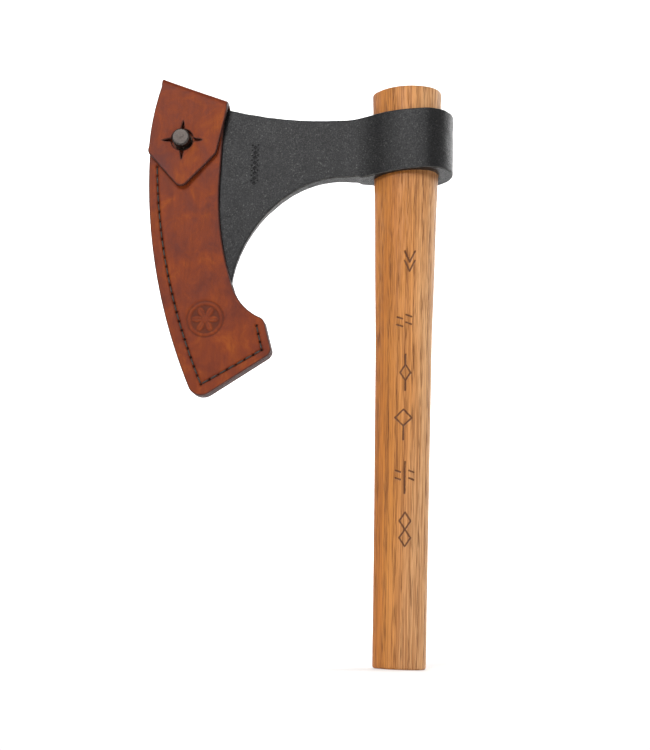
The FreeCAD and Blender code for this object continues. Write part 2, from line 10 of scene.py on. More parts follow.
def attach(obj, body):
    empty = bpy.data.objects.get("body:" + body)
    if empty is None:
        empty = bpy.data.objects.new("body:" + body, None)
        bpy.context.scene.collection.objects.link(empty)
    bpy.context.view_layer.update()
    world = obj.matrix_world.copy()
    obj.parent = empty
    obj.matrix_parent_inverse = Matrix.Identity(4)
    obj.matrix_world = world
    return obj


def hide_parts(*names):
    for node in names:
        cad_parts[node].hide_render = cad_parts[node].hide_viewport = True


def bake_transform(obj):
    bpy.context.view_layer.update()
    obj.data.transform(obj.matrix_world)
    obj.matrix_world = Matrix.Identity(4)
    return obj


# A bearded hatchet with a leather edge sheath. Lengths are in millimetres until a mesh is made.
# +Z runs up the handle to the head, the blade points to -X and the sheath's front faces -Y.

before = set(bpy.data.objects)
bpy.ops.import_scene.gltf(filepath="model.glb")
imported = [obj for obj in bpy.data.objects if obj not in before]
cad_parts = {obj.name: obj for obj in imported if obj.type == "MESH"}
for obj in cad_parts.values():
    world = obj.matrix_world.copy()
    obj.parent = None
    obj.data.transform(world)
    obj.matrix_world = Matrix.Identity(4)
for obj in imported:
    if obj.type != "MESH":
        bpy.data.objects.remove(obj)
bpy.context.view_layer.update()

MM = 0.001
# Points closer than this, in metres, are one point.
MERGE = 2e-7

# ---------------------------------------------------------------- sizes of the handle

# Level and width of each section, from the lower end to the top.
HANDLE_LEVELS = np.array([0.0, 100.0, 200.0, 280.0, 362.4])
HANDLE_WIDTHS = np.array([31.6, 33.1, 35.2, 39.3, 44.7])
HANDLE_TOP = HANDLE_LEVELS[-1]
RIM_ROUND = 1.5
# Where the widths are smoothed, and over what height.
SMOOTH_FROM, SMOOTH_TO, SMOOTH_REACH = 20, 340, 9
# Rows lie close together where the marks are.
MARKS_FROM, MARKS_TO, MARK_ROW, PLAIN_ROW = 66.0, 258.0, 0.42, 1.6
# Radii of the egg section's arcs, as shares of its width.
EGG_NOSE = 0.14
EGG_BACK = 0.30
EGG_SIDE = 0.6764
# Burned marks down the front, in (x, z): notches, dashes and lozenges.
BURNS = [
    [(0.2, 252.5), (3.4, 245.6), (6.6, 252.5)], [(0.2, 246.5), (3.4, 239.6), (6.6, 246.5)],
    [(-4.0, 210.6), (-0.6, 209.4)], [(-4.0, 205.8), (-0.6, 204.6)],
    [(1.6, 212.0), (4.9, 210.8)], [(1.6, 207.2), (4.9, 206.0)],
    [(1.6, 187.0), (1.6, 180.8)], [(1.6, 170.8), (1.6, 164.8)],
    [(1.6, 180.8), (-1.6, 175.8), (1.6, 170.8), (4.8, 175.8), (1.6, 180.8)],
    [(-4.3, 148.0), (0.8, 153.0), (5.9, 148.0), (0.8, 143.0), (-4.3, 148.0)], [(0.8, 143.0), (0.8, 134.6)],
    [(-3.6, 116.0), (-0.6, 115.0)], [(-3.6, 111.5), (-0.6, 110.5)], [(2.1, 121.2), (2.1, 102.3)],
    [(4.6, 116.0), (7.4, 115.0)], [(4.6, 111.5), (7.4, 110.5)],
    [(2.6, 91.0), (-0.8, 86.0), (2.6, 81.0), (6.0, 86.0), (2.6, 91.0)],
    [(2.6, 81.0), (-0.8, 76.0), (2.6, 71.0), (6.0, 76.0), (2.6, 81.0)],
]
BURN_HALF = 0.55
BURN_DEPTH = 0.3
BURN_SOFT = 0.3
UNDER_RING = 303.5

# ---------------------------------------------------------------- sizes of the head

POLL_X = 11.6
RING_HALF = 18.3
# Ring's underside and top, as (x, level).
RING_UNDER = np.array([(-41, 304.2), (-31, 304.2), (-28.5, 303.2), (31, 306.4)])
RING_OVER = np.array([(-34, 343.5), (-20, 345.1), (31, 345.6)])
# Gap between the handle and the eye's wall.
EYE_GAP = 0.12
TOE = (-149.53, 364.42)
HEEL_TIP = (-120.7, 177.0)
HEEL = (-103.4, 189.5)
BEARD_JOIN = (-75.9, 292.3)
NECK_LOW = (-41.0, 304.2)
NECK_TOP = (-34.0, 343.5)
BEARD_TIGHT, BEARD_WIDE, TOP_HOLLOW = 59.1, 85.2, 264.5
BLADE_FROM = -41.0
EDGE_CENTRE = (204.0, 323.0)
EDGE_RADIUS = 356.0
BEVEL_START = 330.0
BEVEL_HALF = 2.1
# The ground face starts below the bevel's start, past the leather's inner line.
GROUND_FROM, GROUND_TO = BEVEL_START + 8, BEVEL_START + 9.5
HEAD_ROUND = 0.9
# A rounded corner takes at most this share of the half thickness, and nothing where the blade is keen.
ROUND_SHARE = 0.85
KEEN = 0.01
HEAD_ROWS, TOP_COLUMNS, EDGE_COLUMNS, RING_COLUMNS, EYE_ROWS = 96, 74, 140, 84, 30
# Punched marks in a column up the blade: small diamonds, with a dot on either side between them.
PUNCH_X = -98.0
PUNCH_ROWS = np.linspace(301.5, 326.0, 8)
PUNCH_STEP = 3.5
PUNCH_HALF = 1.45
PUNCH_DEPTH = 0.5
DOT_ACROSS, DOT_RADIUS = 1.9, 0.5
FINE_ACROSS, FINE_UP = 3.2, 3

# ---------------------------------------------------------------- sizes of the sheath

LEATHER = 3.0
WELT = 4.5
FLAP_GAP = 0.3
FRONT_FACE = WELT / 2 + LEATHER
# Ends of the line along which the leather folds over the blade.
FOLD_LEFT = (-161.5, 366.81)
FOLD_RIGHT = (-117.0, 350.05)
# Corners of the leather, in (x, z), round the boot and up the long edge.
SIDE_LOW = (-120.5, 300.0)
INSTEP = (-108.1, 229.8)
BOOT_TOP = (-91.5, 212.3)
BOOT_SIDE = (-87.2, 208.2)
BOOT_LOW = (-82.6, 191.5)
SOLE_RIGHT = (-85.7, 186.2)
SOLE_LEFT = (-120.3, 163.2)
TIP = (-133.6, 166.0)
WIDEST = (-167.5, 321.0)
LONG_EDGE_TOP = 174.6
# The front panel's top lies below the fold line, and its right end is a little further in.
FRONT_DROP = 6.0
FRONT_IN = 2.4
LEATHER_RIM = 0.95
NOMINAL_WIDTH = 48.0
ROW_CLEAR = 0.6
# Flap's corners from the left end of the fold to its right end; a radius bends the way to the next corner.
FLAP_EDGE = [
    (*FOLD_LEFT, LONG_EDGE_TOP, 1), (-167.55, 325.0, 5.0, 1), (-165.8, 319.0), (-148.6, 299.8, 5.0, 1),
    (-140.9, 300.1), (-122.8, 320.4), FOLD_RIGHT,
]
# Fold: height of the leather's middle over the blade, its bends, and how far its top leans to +X.
FOLD_HEIGHT = 4.4 + LEATHER / 2
FOLD_BEND = 3.0
FOLD_LEAN = 0.04
# Seam: corners of its three runs, then the holes' pitch and the thread.
SEAM_TOP, SEAM_TIP, SEAM_HEEL, SEAM_END = (-161.8, 312.4), (-125.8, 168.4), (-88.3, 190.6), (-92.2, 206.2)
SEAM_RADIUS = 400.0
SEAM_PITCH = 6.2
SEAM_GAP = 1.5
THREAD = 0.46
GROOVE_HALF, GROOVE_DEPTH, PIT_DEPTH = 0.9, 0.38, 0.9
# Welt: its inner line's corners and the radius beside the cutting edge.
WELT_END, WELT_HEEL, WELT_TIP, WELT_TOP = (-98.0, 209.6), (-95.6, 192.2), (-124.6, 172.9), (-154.5, 321.0)
WELT_RADIUS = 358.5
WELT_RIM = 0.5
WELT_HALF = WELT / 2 - 0.02
# Pressed medallion: centre, ring and rosette.
MEDALLION = (-125.2, 210.3)
MEDALLION_RADIUS = 11.6
PETAL = 8.6
# Stud, and the buttonhole's circle with its slits.
STUD = (-145.4, 329.4)
HOLE_RADIUS, SLIT_LENGTH, SLIT_HALF = 7.2, 5.9, 0.17
SLIT_COLUMNS = np.array([-0.17, -0.12, -0.08, -0.045, -0.02, 0, 0.02, 0.045, 0.08, 0.12, 0.17])
# Radius and height of each corner of the stud and of its screw.
STUD_PROFILE = [
    (0, 0), (6.2, 0), (6.2, 0.85), (4.0, 0.95), (4.0, 3.8), (5.85, 3.8), (5.85, 8.1), (5.0, 9.0), (0, 9.25),
]
SCREW_PROFILE = [(0, -0.12), (3.6, -0.1), (4.4, 0.12), (4.4, 0.8), (1.5, 0.85), (1.5, 7.9), (0, 8.0)]

# ---------------------------------------------------------------- stage

# Soft boxes: name, place, the point it faces, size in metres and power in watts.
LIT_POINT = (-0.06, 0.0, 0.25)
WORLD_LIGHT = 0.4
LIGHTS = [
    ("key_front", (-0.55, -1.7, 1.15), LIT_POINT, 0.6, 22.0),
    ("fill_right", (1.7, -0.9, 0.7), LIT_POINT, 1.2, 4.5),
    ("back_right", (1.0, 1.1, 1.0), LIT_POINT, 0.8, 5.0),
    ("wall_left", (-2.2, 1.3, 1.8), (-0.6, 4.0, 0.8), 1.5, 115.0),
    ("wall_right", (2.2, 1.3, 1.8), (0.6, 4.0, 0.8), 1.5, 115.0),
]
CAMERA_PLACE = Vector((0.01897, -0.68319, 0.04036))
CAMERA_FORWARD = Vector((-0.0966, 0.9763, 0.1938)).normalized()
CAMERA_UP = Vector((-0.0090, -0.1956, 0.9806))
LENS, SENSOR = 53.9, 36.0
# Backdrop, in millimetres: floor, start of its curve, the curve's size, and the wall's top.
FLOOR_FRONT, FLOOR_MID, CURVE_FROM, CURVE_SIZE, WALL_TOP, WALL_HALF = -6000, -2000, 2500, 1500, 6500, 7000


# ---------------------------------------------------------------- curves and fields

def arc(start, end, radius, side, step=0.5):
    """Points along the shorter arc from start to end; side 1 has its centre left of the way, -1 right."""
    start, end = np.array(start, float), np.array(end, float)
    way = end - start
    span = np.hypot(*way)
    left = np.array([-way[1], way[0]]) / span
    centre = (start + end) / 2 + left * side * math.sqrt(radius ** 2 - span ** 2 / 4)
    first = math.atan2(*(start - centre)[::-1])
    turn = 2 * math.asin(span / 2 / radius) * side
    count = max(3, int(abs(turn) * radius / step) + 2)
    angle = first + turn * np.linspace(0, 1, count)
    return centre + radius * np.stack([np.cos(angle), np.sin(angle)], 1)


def trace(corners, step=0.5):
    """One open line through corners (x, z) or (x, z, radius, side), where the radius bends the way to the next."""
    runs = []
    for here, there in zip(corners, corners[1:]):
        if len(here) == 4:
            runs.append(arc(here[:2], there[:2], here[2], here[3])[:-1])
        else:
            length = math.dist(here[:2], there[:2])
            share = np.linspace(0, 1, max(2, int(length / step)), endpoint=False)[:, None]
            runs.append(np.array(here[:2]) * (1 - share) + np.array(there[:2]) * share)
    runs.append(np.array([corners[-1][:2]], float))
    return np.concatenate(runs)


def lengths(line):
    """Distance along a line at each of its points."""
    return np.concatenate([[0], np.cumsum(np.hypot(*np.diff(line, axis=0).T))])


def along(line, distance):
    """Points of a line at given distances from its start."""
    reach = lengths(line)
    return np.stack([np.interp(distance, reach, line[:, axis]) for axis in range(line.shape[1])], -1)


def distance_to(points, line):
    """Shortest distance from each point to a line, taken run by run, and the distance along it there."""
    best = np.full(len(points), np.inf)
    place = np.zeros(len(points))
    for start, end, travelled in zip(line[:-1], line[1:], lengths(line)):
        way = end - start
        size = max(way @ way, 1e-12)
        share = np.clip(((points - start) @ way) / size, 0, 1)
        gap = np.hypot(*(points - start - share[:, None] * way).T)
        nearer = gap < best
        best = np.where(nearer, gap, best)
        place = np.where(nearer, travelled + share * math.sqrt(size), place)
    return best, place


def place_on(line, point):
    """Distance along a line to the place on it that is nearest to a point."""
    return distance_to(np.array([point], float), line)[1][0]


def ease(value, low, high):
    """0 below low, 1 above high, and the S-curve 3s^2 - 2s^3 between them."""
    share = np.clip((value - low) / (high - low), 0, 1)
    return share * share * (3 - 2 * share)


def bell(value, width):
    """A bump that is 1 at value 0 and falls off as exp(-(value / width)^2)."""
    return np.exp(-(value / width) ** 2)


def field(points, cell, seed, table_size=32):
    """Smooth random field from -1 to 1: random numbers at the corners of a lattice of cells, eased between."""
    table = np.random.default_rng(seed).uniform(-1, 1, (table_size,) * 3)
    place = points / np.array(cell, float)
    corner = np.floor(place).astype(int)
    share = place - corner
    share = share * share * (3 - 2 * share)
    total = np.zeros(len(points))
    for step in np.ndindex(2, 2, 2):
        weight = np.prod(np.where(step, share, 1 - share), axis=1)
        index = (corner + step) % table_size
        total += weight * table[index[:, 0], index[:, 1], index[:, 2]]
    return total


def clustered(length, count, near=(0, 0.02, 0.08, 0.2, 0.4, 0.65, 0.95)):
    """Shares of a length from 0 to 1: the given distances from both ends, and even steps between them."""
    ends = np.array(near) / length
    middle = np.linspace(ends[-1], 1 - ends[-1], count)[1:-1]
    return np.concatenate([ends, middle, 1 - ends[::-1]])


# ---------------------------------------------------------------- meshes

def grid_quads(rows, columns, first=0, around=False):
    """Faces of a grid of points stored row by row; around joins the last column to the first."""
    row = np.arange(rows - 1)[:, None]
    column = np.arange(columns if around else columns - 1)[None, :]
    after = (column + 1) % columns
    corners = [(row, column), (row, after), (row + 1, after), (row + 1, column)]
    return first + np.stack([up * columns + across for up, across in corners], -1).reshape(-1, 4)


def make_mesh(name, points, quads, values=None, sharp=None):
    """A closed smooth mesh from millimetre points: doubles merged, empty faces gone, faces outwards.

    Corners sharper than an angle in degrees keep a hard edge when one is given.
    """
    mesh = bpy.data.meshes.new(name)
    mesh.from_pydata(points * MM, [], quads)
    for key, value in (values or {}).items():
        set_value(mesh, key, value)
    work = bmesh.new()
    work.from_mesh(mesh)
    bmesh.ops.remove_doubles(work, verts=work.verts, dist=MERGE)
    bmesh.ops.dissolve_degenerate(work, edges=work.edges, dist=MERGE / 10)
    bmesh.ops.recalc_face_normals(work, faces=work.faces)
    if work.calc_volume(signed=True) < 0:
        bmesh.ops.reverse_faces(work, faces=work.faces)
    work.to_mesh(mesh)
    work.free()
    mesh.shade_smooth()
    if sharp:
        mesh.set_sharp_from_angle(angle=math.radians(sharp))
    return mesh


def read_points(mesh):
    """A mesh's points in millimetres and its normals."""
    points = np.empty(len(mesh.vertices) * 3, np.float32)
    normals = np.empty(len(mesh.vertices) * 3, np.float32)
    mesh.vertices.foreach_get("co", points)
    mesh.vertex_normals.foreach_get("vector", normals)
    return points.reshape(-1, 3).astype(float) / MM, normals.reshape(-1, 3).astype(float)


def write_points(mesh, points):
    """Put a mesh's points where an array of millimetre places says."""
    mesh.vertices.foreach_set("co", (points * MM).astype(np.float32).ravel())
    mesh.update()


def set_value(mesh, key, value):
    """Store one number for each point, for a material to read."""
    attribute = mesh.attributes.get(key) or mesh.attributes.new(key, "FLOAT", "POINT")
    attribute.data.foreach_set("value", np.ravel(value).astype(np.float32))


def add_piece(mesh, material, replaced, body=None):
    """The object of a finished mesh: its material, the nodes that it stands for and its body."""
    piece = bpy.data.objects.new(mesh.name, mesh)
    bpy.context.scene.collection.objects.link(piece)
    mesh.materials.append(material)
    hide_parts(*replaced)
    if body:
        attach(piece, body)
    return piece


# ---------------------------------------------------------------- materials

def srgb(code):
    """Linear red, green, blue and alpha of an sRGB hex colour."""
    parts = [int(code[place:place + 2], 16) / 255 for place in (1, 3, 5)]
    linear = [part / 12.92 if part <= 0.04045 else ((part + 0.055) / 1.055) ** 2.4 for part in parts]
    return (*linear, 1.0)


def grey(value):
    """A number as a colour, for a mask or a roughness."""
    return (value, value, value, 1.0)


def per_metre(size):
    """Pattern scale that gives features of a size in millimetres."""
    return 1 / (size * MM)


def plug(material, node, inputs):
    """Give each input of a node a plain value, or link it to another node's output."""
    for key, value in inputs.items():
        if isinstance(value, bpy.types.NodeSocket):
            material.node_tree.links.new(value, node.inputs[key])
        else:
            node.inputs[key].default_value = value


def add_node(material, kind, inputs=None, output=0, stops=None, **settings):
    """Add a node with its settings, inputs and colour stops, and return one of its outputs."""
    node = material.node_tree.nodes.new("ShaderNode" + kind)
    for key, value in settings.items():
        setattr(node, key, value)
    plug(material, node, inputs or {})
    elements = node.color_ramp.elements if stops else []
    while len(elements) < len(stops or []):
        elements.new(0.5)
    for element, (place, colour) in zip(elements, stops or []):
        element.position = place
        element.color = colour
    return node.outputs[output]


def new_material(name, uniform):
    """A material, its shader with its uniform values, and add_node for this material."""
    material = bpy.data.materials.new(name)
    material.use_nodes = True
    shader = material.node_tree.nodes["Principled BSDF"]
    plug(material, shader, uniform)
    return material, shader, partial(add_node, material)


def layered(node, base, layers):
    """Colours laid over a base in turn: each mask rises to a strength between two values of a pattern."""
    for pattern, low, high, strength, colour in layers:
        mask = node("ValToRGB", {"Fac": pattern}, stops=[(low, grey(0)), (high, grey(strength))])
        base = node("Mix", {0: mask, 6: base, 7: colour}, output=2, data_type="RGBA")
    return base


def hickory():
    """Hickory, planed, sanded and oiled: ring-porous, so early wood shows as long dark dashes down the grain."""
    material, shader, node = new_material("oiled_hickory", {"IOR": 1.5, "Specular IOR Level": 0.4})
    place = node("TexCoord", output="Object")
    # Noises drawn out along the grain: size across and along it in millimetres, detail, roughness, distortion.
    wander, bands, lines, pores, fine = [
        node("TexNoise", {
            "Vector": node("Mapping", {
                "Vector": place, "Scale": (per_metre(across), per_metre(across), per_metre(down)),
            }),
            "Scale": 1.0, "Detail": detail, "Roughness": roughness, "Distortion": distortion,
        })
        for across, down, detail, roughness, distortion in (
            (22.22, 200.0, 2.0, 0.5, 0.0),
            (3.846, 142.9, 3.0, 0.5, 0.0),
            (1.0, 90.91, 3.0, 0.7, 0.3),
            (0.4348, 16.13, 1.5, 0.6, 0.0),
            (0.2778, 9.091, 2.0, 0.6, 0.0),
        )
    ]
    # Golden on the blade's side and paler, pinker at the back, 42 mm on: partly heartwood against sapwood, partly
    # painted shade on the blade's side and painted light at the back.
    side = node("Math", {0: node("SeparateXYZ", {"Vector": place}), 1: per_metre(41.67)}, operation="MULTIPLY")
    wander = node("Math", {0: wander, 1: 0.95}, operation="MULTIPLY")
    ground = node("ValToRGB", {"Fac": node("Math", {0: side, 1: wander}, operation="ADD")}, stops=[
        (0.05, srgb("#BF7229")), (0.32, srgb("#D0883B")), (0.52, srgb("#D89452")), (0.8, srgb("#E4B17C")),
    ])
    # Growth rings run lengthwise about a heart outside the handle, and bend slowly.
    heart = (0.055, 0.021, 0.0)
    drawn = node("Mapping", {"Vector": place, "Scale": (1, 1, 0.08)})
    bent = node("VectorMath", {0: drawn, 1: heart}, operation="ADD")
    rings = node("TexWave", {
        "Vector": bent, "Scale": 66.0, "Distortion": 2.2, "Detail": 2.0, "Detail Scale": 14.0,
    }, output="Fac", wave_type="RINGS", rings_direction="Z", wave_profile="SAW")
    early = node("ValToRGB", {"Fac": rings}, stops=[
        (0.0, grey(1)), (0.42, grey(0.35)), (0.75, grey(0)), (0.97, grey(1)),
    ])
    # Pores 0.4 mm across and 16 mm long are open in the early wood and few in the late wood.
    pores = node("ValToRGB", {"Fac": pores}, stops=[(0.50, grey(0)), (0.62, grey(1))])
    fine = node("ValToRGB", {"Fac": fine}, stops=[(0.42, grey(0)), (0.72, grey(1))])
    open_wood = node("Math", {0: early, 1: 0.28}, operation="MAXIMUM")
    dark = node("Math", {0: pores, 1: open_wood}, operation="MULTIPLY")
    burn, ring_shade_and_dark_rims = [node("Attribute", output="Fac", attribute_name=name) for name in ("burn", "ring_shade_and_dark_rims")]
    colour = layered(node, ground, [
        (bands, 0.35, 0.70, 0.35, srgb("#A9672B")),
        (lines, 0.48, 0.60, 0.62, srgb("#8A4F1C")),
        (early, 0.0, 1.0, 0.22, srgb("#8E5420")),
        (fine, 0.0, 1.0, 0.30, srgb("#A86A33")),
        (dark, 0.0, 1.0, 0.85, srgb("#5E320F")),
        (burn, 0.25, 0.80, 0.86, srgb("#4A2408")),
        # painted shade under the ring, and darker rims at both ends
        (ring_shade_and_dark_rims, 0.0, 1.0, 0.55, srgb("#7A4516")),
    ])
    sunk = node("Bump", {"Height": dark, "Strength": 1.0, "Distance": 0.12 * MM}, invert=True)
    plug(material, shader, {
        "Base Color": colour,
        "Roughness": node("ValToRGB", {"Fac": pores}, stops=[(0.0, grey(0.46)), (1.0, grey(0.68))]),
        "Normal": node("Bump", {"Height": fine, "Strength": 1.0, "Distance": 0.03 * MM, "Normal": sunk}),
    })
    return material


def black_forged_steel():
    """Carbon steel, forged and blackened: fine scale all over, rubbed on high grains, ground bare at the edge."""
    material, shader, node = new_material("blackened_forged_steel", {"Metallic": 0.7})
    place = node("TexCoord", output="Object")
    # Scale grains of 0.8 mm, grains of 1 mm that are rubbed, and broad clouds of 14 mm.
    grains, rubbed, broad = [
        node("TexNoise", {
            "Vector": place, "Scale": per_metre(size),
            "Detail": detail, "Roughness": roughness, "Distortion": distortion,
        })
        for size, detail, roughness, distortion in (
            (0.8, 3.0, 0.66, 0.0), (0.9524, 2.0, 0.6, 0.3), (14.29, 3.0, 0.6, 0.0),
        )
    ]
    # The bevel is ground, with scratches 0.24 mm apart across the edge.
    fine_lines = [per_metre(size) for size in (16.67, 1.111, 0.2381)]
    scratch = node("TexNoise", {
        "Vector": node("Mapping", {"Vector": place, "Scale": fine_lines}),
        "Scale": 1.0, "Detail": 2.0, "Roughness": 0.6,
    })
    bright = node("ValToRGB", {"Fac": scratch}, stops=[(0.3, srgb("#77787A")), (0.7, srgb("#A9AAAB"))])
    worn, sunk, ground = [
        node("Attribute", output="Fac", attribute_name=name) for name in ("worn", "sunk", "ground")
    ]
    scale = node("ValToRGB", {"Fac": grains}, stops=[
        (0.28, srgb("#141415")), (0.5, srgb("#232324")), (0.72, srgb("#363636")),
    ])
    colour = layered(node, scale, [
        (rubbed, 0.60, 0.72, 0.8, srgb("#525250")),
        (broad, 0.35, 0.70, 0.5, srgb("#1F1F20")),
        (worn, 0.0, 1.0, 0.6, srgb("#76746F")),
        # punched marks darkened: painted shade in their hollows
        (sunk, 0.0, 1.0, 0.8, srgb("#0E0E0F")),
        (ground, 0.0, 1.0, 1.0, bright),
    ])
    rough = node("ValToRGB", {"Fac": grains}, stops=[(0.3, grey(0.5)), (0.75, grey(0.34))])
    unground = node("Math", {0: 1.0, 1: ground}, operation="SUBTRACT")
    raised = node("Math", {0: grains, 1: unground}, operation="MULTIPLY")
    scored = node("Math", {0: scratch, 1: ground}, operation="MULTIPLY")
    grained = node("Bump", {"Height": raised, "Strength": 1.0, "Distance": 0.22 * MM})
    plug(material, shader, {
        "Base Color": colour,
        "Roughness": layered(node, rough, [(ground, 0.0, 1.0, 1.0, grey(0.3))]),
        "Normal": node("Bump", {"Height": scored, "Strength": 1.0, "Distance": 0.03 * MM, "Normal": grained}),
    })
    return material


def oiled_leather():
    """Vegetable-tanned cowhide, dyed red-brown and oiled: mottled dye, fine pores, burnished dark rims."""
    material, shader, node = new_material(
        "dyed_vegetable_tanned_leather", {"IOR": 1.5, "Specular IOR Level": 0.14})
    place = node("TexCoord", output="Object")
    # Clouds of dye, streaks up the hide, pores, and the fibres of a cut edge: sizes in millimetres.
    cloud, streaks, pores, fibre = [
        node("TexNoise", {
            "Vector": node("Mapping", {"Vector": place, "Scale": [per_metre(size) for size in sizes]}),
            "Scale": 1.0, "Detail": detail, "Roughness": roughness, "Distortion": distortion,
        })
        for sizes, detail, roughness, distortion in (
            ((16.13, 16.13, 19.23), 5.0, 0.62, 0.8),
            ((3.03, 3.03, 21.74), 3.0, 0.6, 0.4),
            ((0.6667, 0.6667, 0.6667), 2.0, 0.6, 0.0),
            ((2.0, 0.3846, 2.0), 2.0, 0.5, 0.0),
        )
    ]
    scuff, pressed, hole_and_painted_shade, rim = [
        node("Attribute", output="Fac", attribute_name=name) for name in ("scuff", "pressed", "hole_and_painted_shade", "rim")
    ]
    dye = node("ValToRGB", {"Fac": cloud}, stops=[
        (0.30, srgb("#652713")), (0.44, srgb("#763116")), (0.56, srgb("#823815")), (0.70, srgb("#944718")),
    ])
    cut = node("ValToRGB", {"Fac": fibre}, stops=[(0.3, srgb("#36201D")), (0.7, srgb("#543833"))])
    colour = layered(node, dye, [
        (streaks, 0.42, 0.75, 0.4, srgb("#5C2413")),
        (pores, 0.55, 0.72, 0.3, srgb("#54271A")),
        (scuff, 0.0, 1.0, 0.6, srgb("#4E2A2C")),
        (pressed, 0.0, 1.0, 0.75, srgb("#3A1A12")),
        # stitch holes near black: painted shade inside the holes
        (hole_and_painted_shade, 0.0, 1.0, 1.0, srgb("#0B0605")),
        (rim, 0.0, 1.0, 0.9, cut),
    ])
    # Hair-cell grain about 0.7 mm across, under the longer creases.
    cells = node("TexVoronoi", {
        "Vector": place, "Scale": per_metre(0.7143), "Randomness": 1.0,
    }, output="Distance", feature="DISTANCE_TO_EDGE")
    raised = node("Math", {0: cells, 1: 0.3}, operation="MINIMUM")
    grained = node("Bump", {"Height": raised, "Strength": 1.0, "Distance": 0.10 * MM})
    plug(material, shader, {
        "Base Color": colour,
        "Roughness": node("ValToRGB", {"Fac": cloud}, stops=[(0.3, grey(0.44)), (0.7, grey(0.56))]),
        "Normal": node("Bump", {"Height": streaks, "Strength": 1.0, "Distance": 0.16 * MM, "Normal": grained}),
    })
    return material


def slicked_edge():
    """Cut edge of glued layers of cowhide, dyed dark and slicked: fibres lie along the edge."""
    material, shader, node = new_material("slicked_leather_edge", {"IOR": 1.5, "Specular IOR Level": 0.35})
    layers = [per_metre(size) for size in (2.381, 0.3571, 2.381)]
    place = node("Mapping", {"Vector": node("TexCoord", output="Object"), "Scale": layers})
    fibre = node("TexNoise", {"Vector": place, "Scale": 1.0, "Detail": 3.0, "Roughness": 0.65})
    plug(material, shader, {
        "Base Color": node("ValToRGB", {"Fac": fibre}, stops=[
            (0.3, srgb("#2E1A18")), (0.55, srgb("#432A28")), (0.75, srgb("#5A403C")),
        ]),
        "Roughness": node("ValToRGB", {"Fac": fibre}, stops=[(0.3, grey(0.5)), (0.7, grey(0.7))]),
        "Normal": node("Bump", {"Height": fibre, "Strength": 1.0, "Distance": 0.18 * MM}),
    })
    return material


def waxed_thread():
    """Black polyester thread, twisted and waxed: satin, with a fine lay along each ply."""
    material, shader, node = new_material("waxed_black_thread", {"IOR": 1.5, "Specular IOR Level": 0.4})
    place = node("TexCoord", output="Object")
    lay = node("TexNoise", {"Vector": place, "Scale": per_metre(0.3125), "Detail": 2.0, "Roughness": 0.6})
    plug(material, shader, {
        "Base Color": node("ValToRGB", {"Fac": lay}, stops=[(0.3, srgb("#1A1715")), (0.7, srgb("#4A4540"))]),
        "Roughness": node("ValToRGB", {"Fac": lay}, stops=[(0.3, grey(0.45)), (0.7, grey(0.6))]),
        "Normal": node("Bump", {"Height": lay, "Strength": 1.0, "Distance": 0.08 * MM}),
    })
    return material


def tumbled_steel():
    """Steel, blackened and then tumbled: dark brown-black in the hollows and rubbed to grey on top."""
    material, shader, node = new_material("tumbled_blackened_steel", {"Metallic": 0.85})
    place = node("TexCoord", output="Object")
    mottle = node("TexNoise", {"Vector": place, "Scale": per_metre(1.111), "Detail": 3.0, "Roughness": 0.6})
    worn = node("Attribute", output="Fac", attribute_name="worn")
    dark = node("ValToRGB", {"Fac": mottle}, stops=[(0.3, srgb("#2A211D")), (0.7, srgb("#4E4038"))])
    rubbed = node("ValToRGB", {"Fac": mottle}, stops=[(0.3, srgb("#373331")), (0.7, srgb("#534E4B"))])
    plug(material, shader, {
        "Base Color": layered(node, dark, [(worn, 0.0, 1.0, 1.0, rubbed)]),
        "Roughness": node("ValToRGB", {"Fac": mottle}, stops=[(0.3, grey(0.36)), (0.7, grey(0.52))]),
        "Normal": node("Bump", {"Height": mottle, "Strength": 1.0, "Distance": 0.12 * MM}),
    })
    return material


# ---------------------------------------------------------------- handle

def egg(width, share):
    """Half of the handle's section, nose to back on the -Y side: nose, side and back arcs tangent to each other.

    share runs from 0 at the nose to 1 at the back; width may be an array, one per point.
    """
    nose_x, back_x = EGG_NOSE - 0.5, 0.5 - EGG_BACK
    to_nose, to_back, apart = EGG_SIDE - EGG_NOSE, EGG_SIDE - EGG_BACK, back_x - nose_x
    reach = (to_nose ** 2 - to_back ** 2 + apart ** 2) / (2 * apart)
    centre_x, centre_y = nose_x + reach, math.sqrt(to_nose ** 2 - reach ** 2)
    first = math.atan2(-centre_y, nose_x - centre_x)
    last = math.atan2(-centre_y, back_x - centre_x)
    line = np.concatenate([
        np.stack([x + radius * np.cos(turn), y + radius * np.sin(turn)], 1)
        for x, y, radius, turn in (
            (nose_x, 0.0, EGG_NOSE, np.linspace(-math.pi, first, 80)),
            (centre_x, centre_y, EGG_SIDE, np.linspace(first, last, 80)),
            (back_x, 0.0, EGG_BACK, np.linspace(last, 0.0, 80)),
        )
    ])
    return along(line, share * lengths(line)[-1]) * np.reshape(width, (-1, 1))


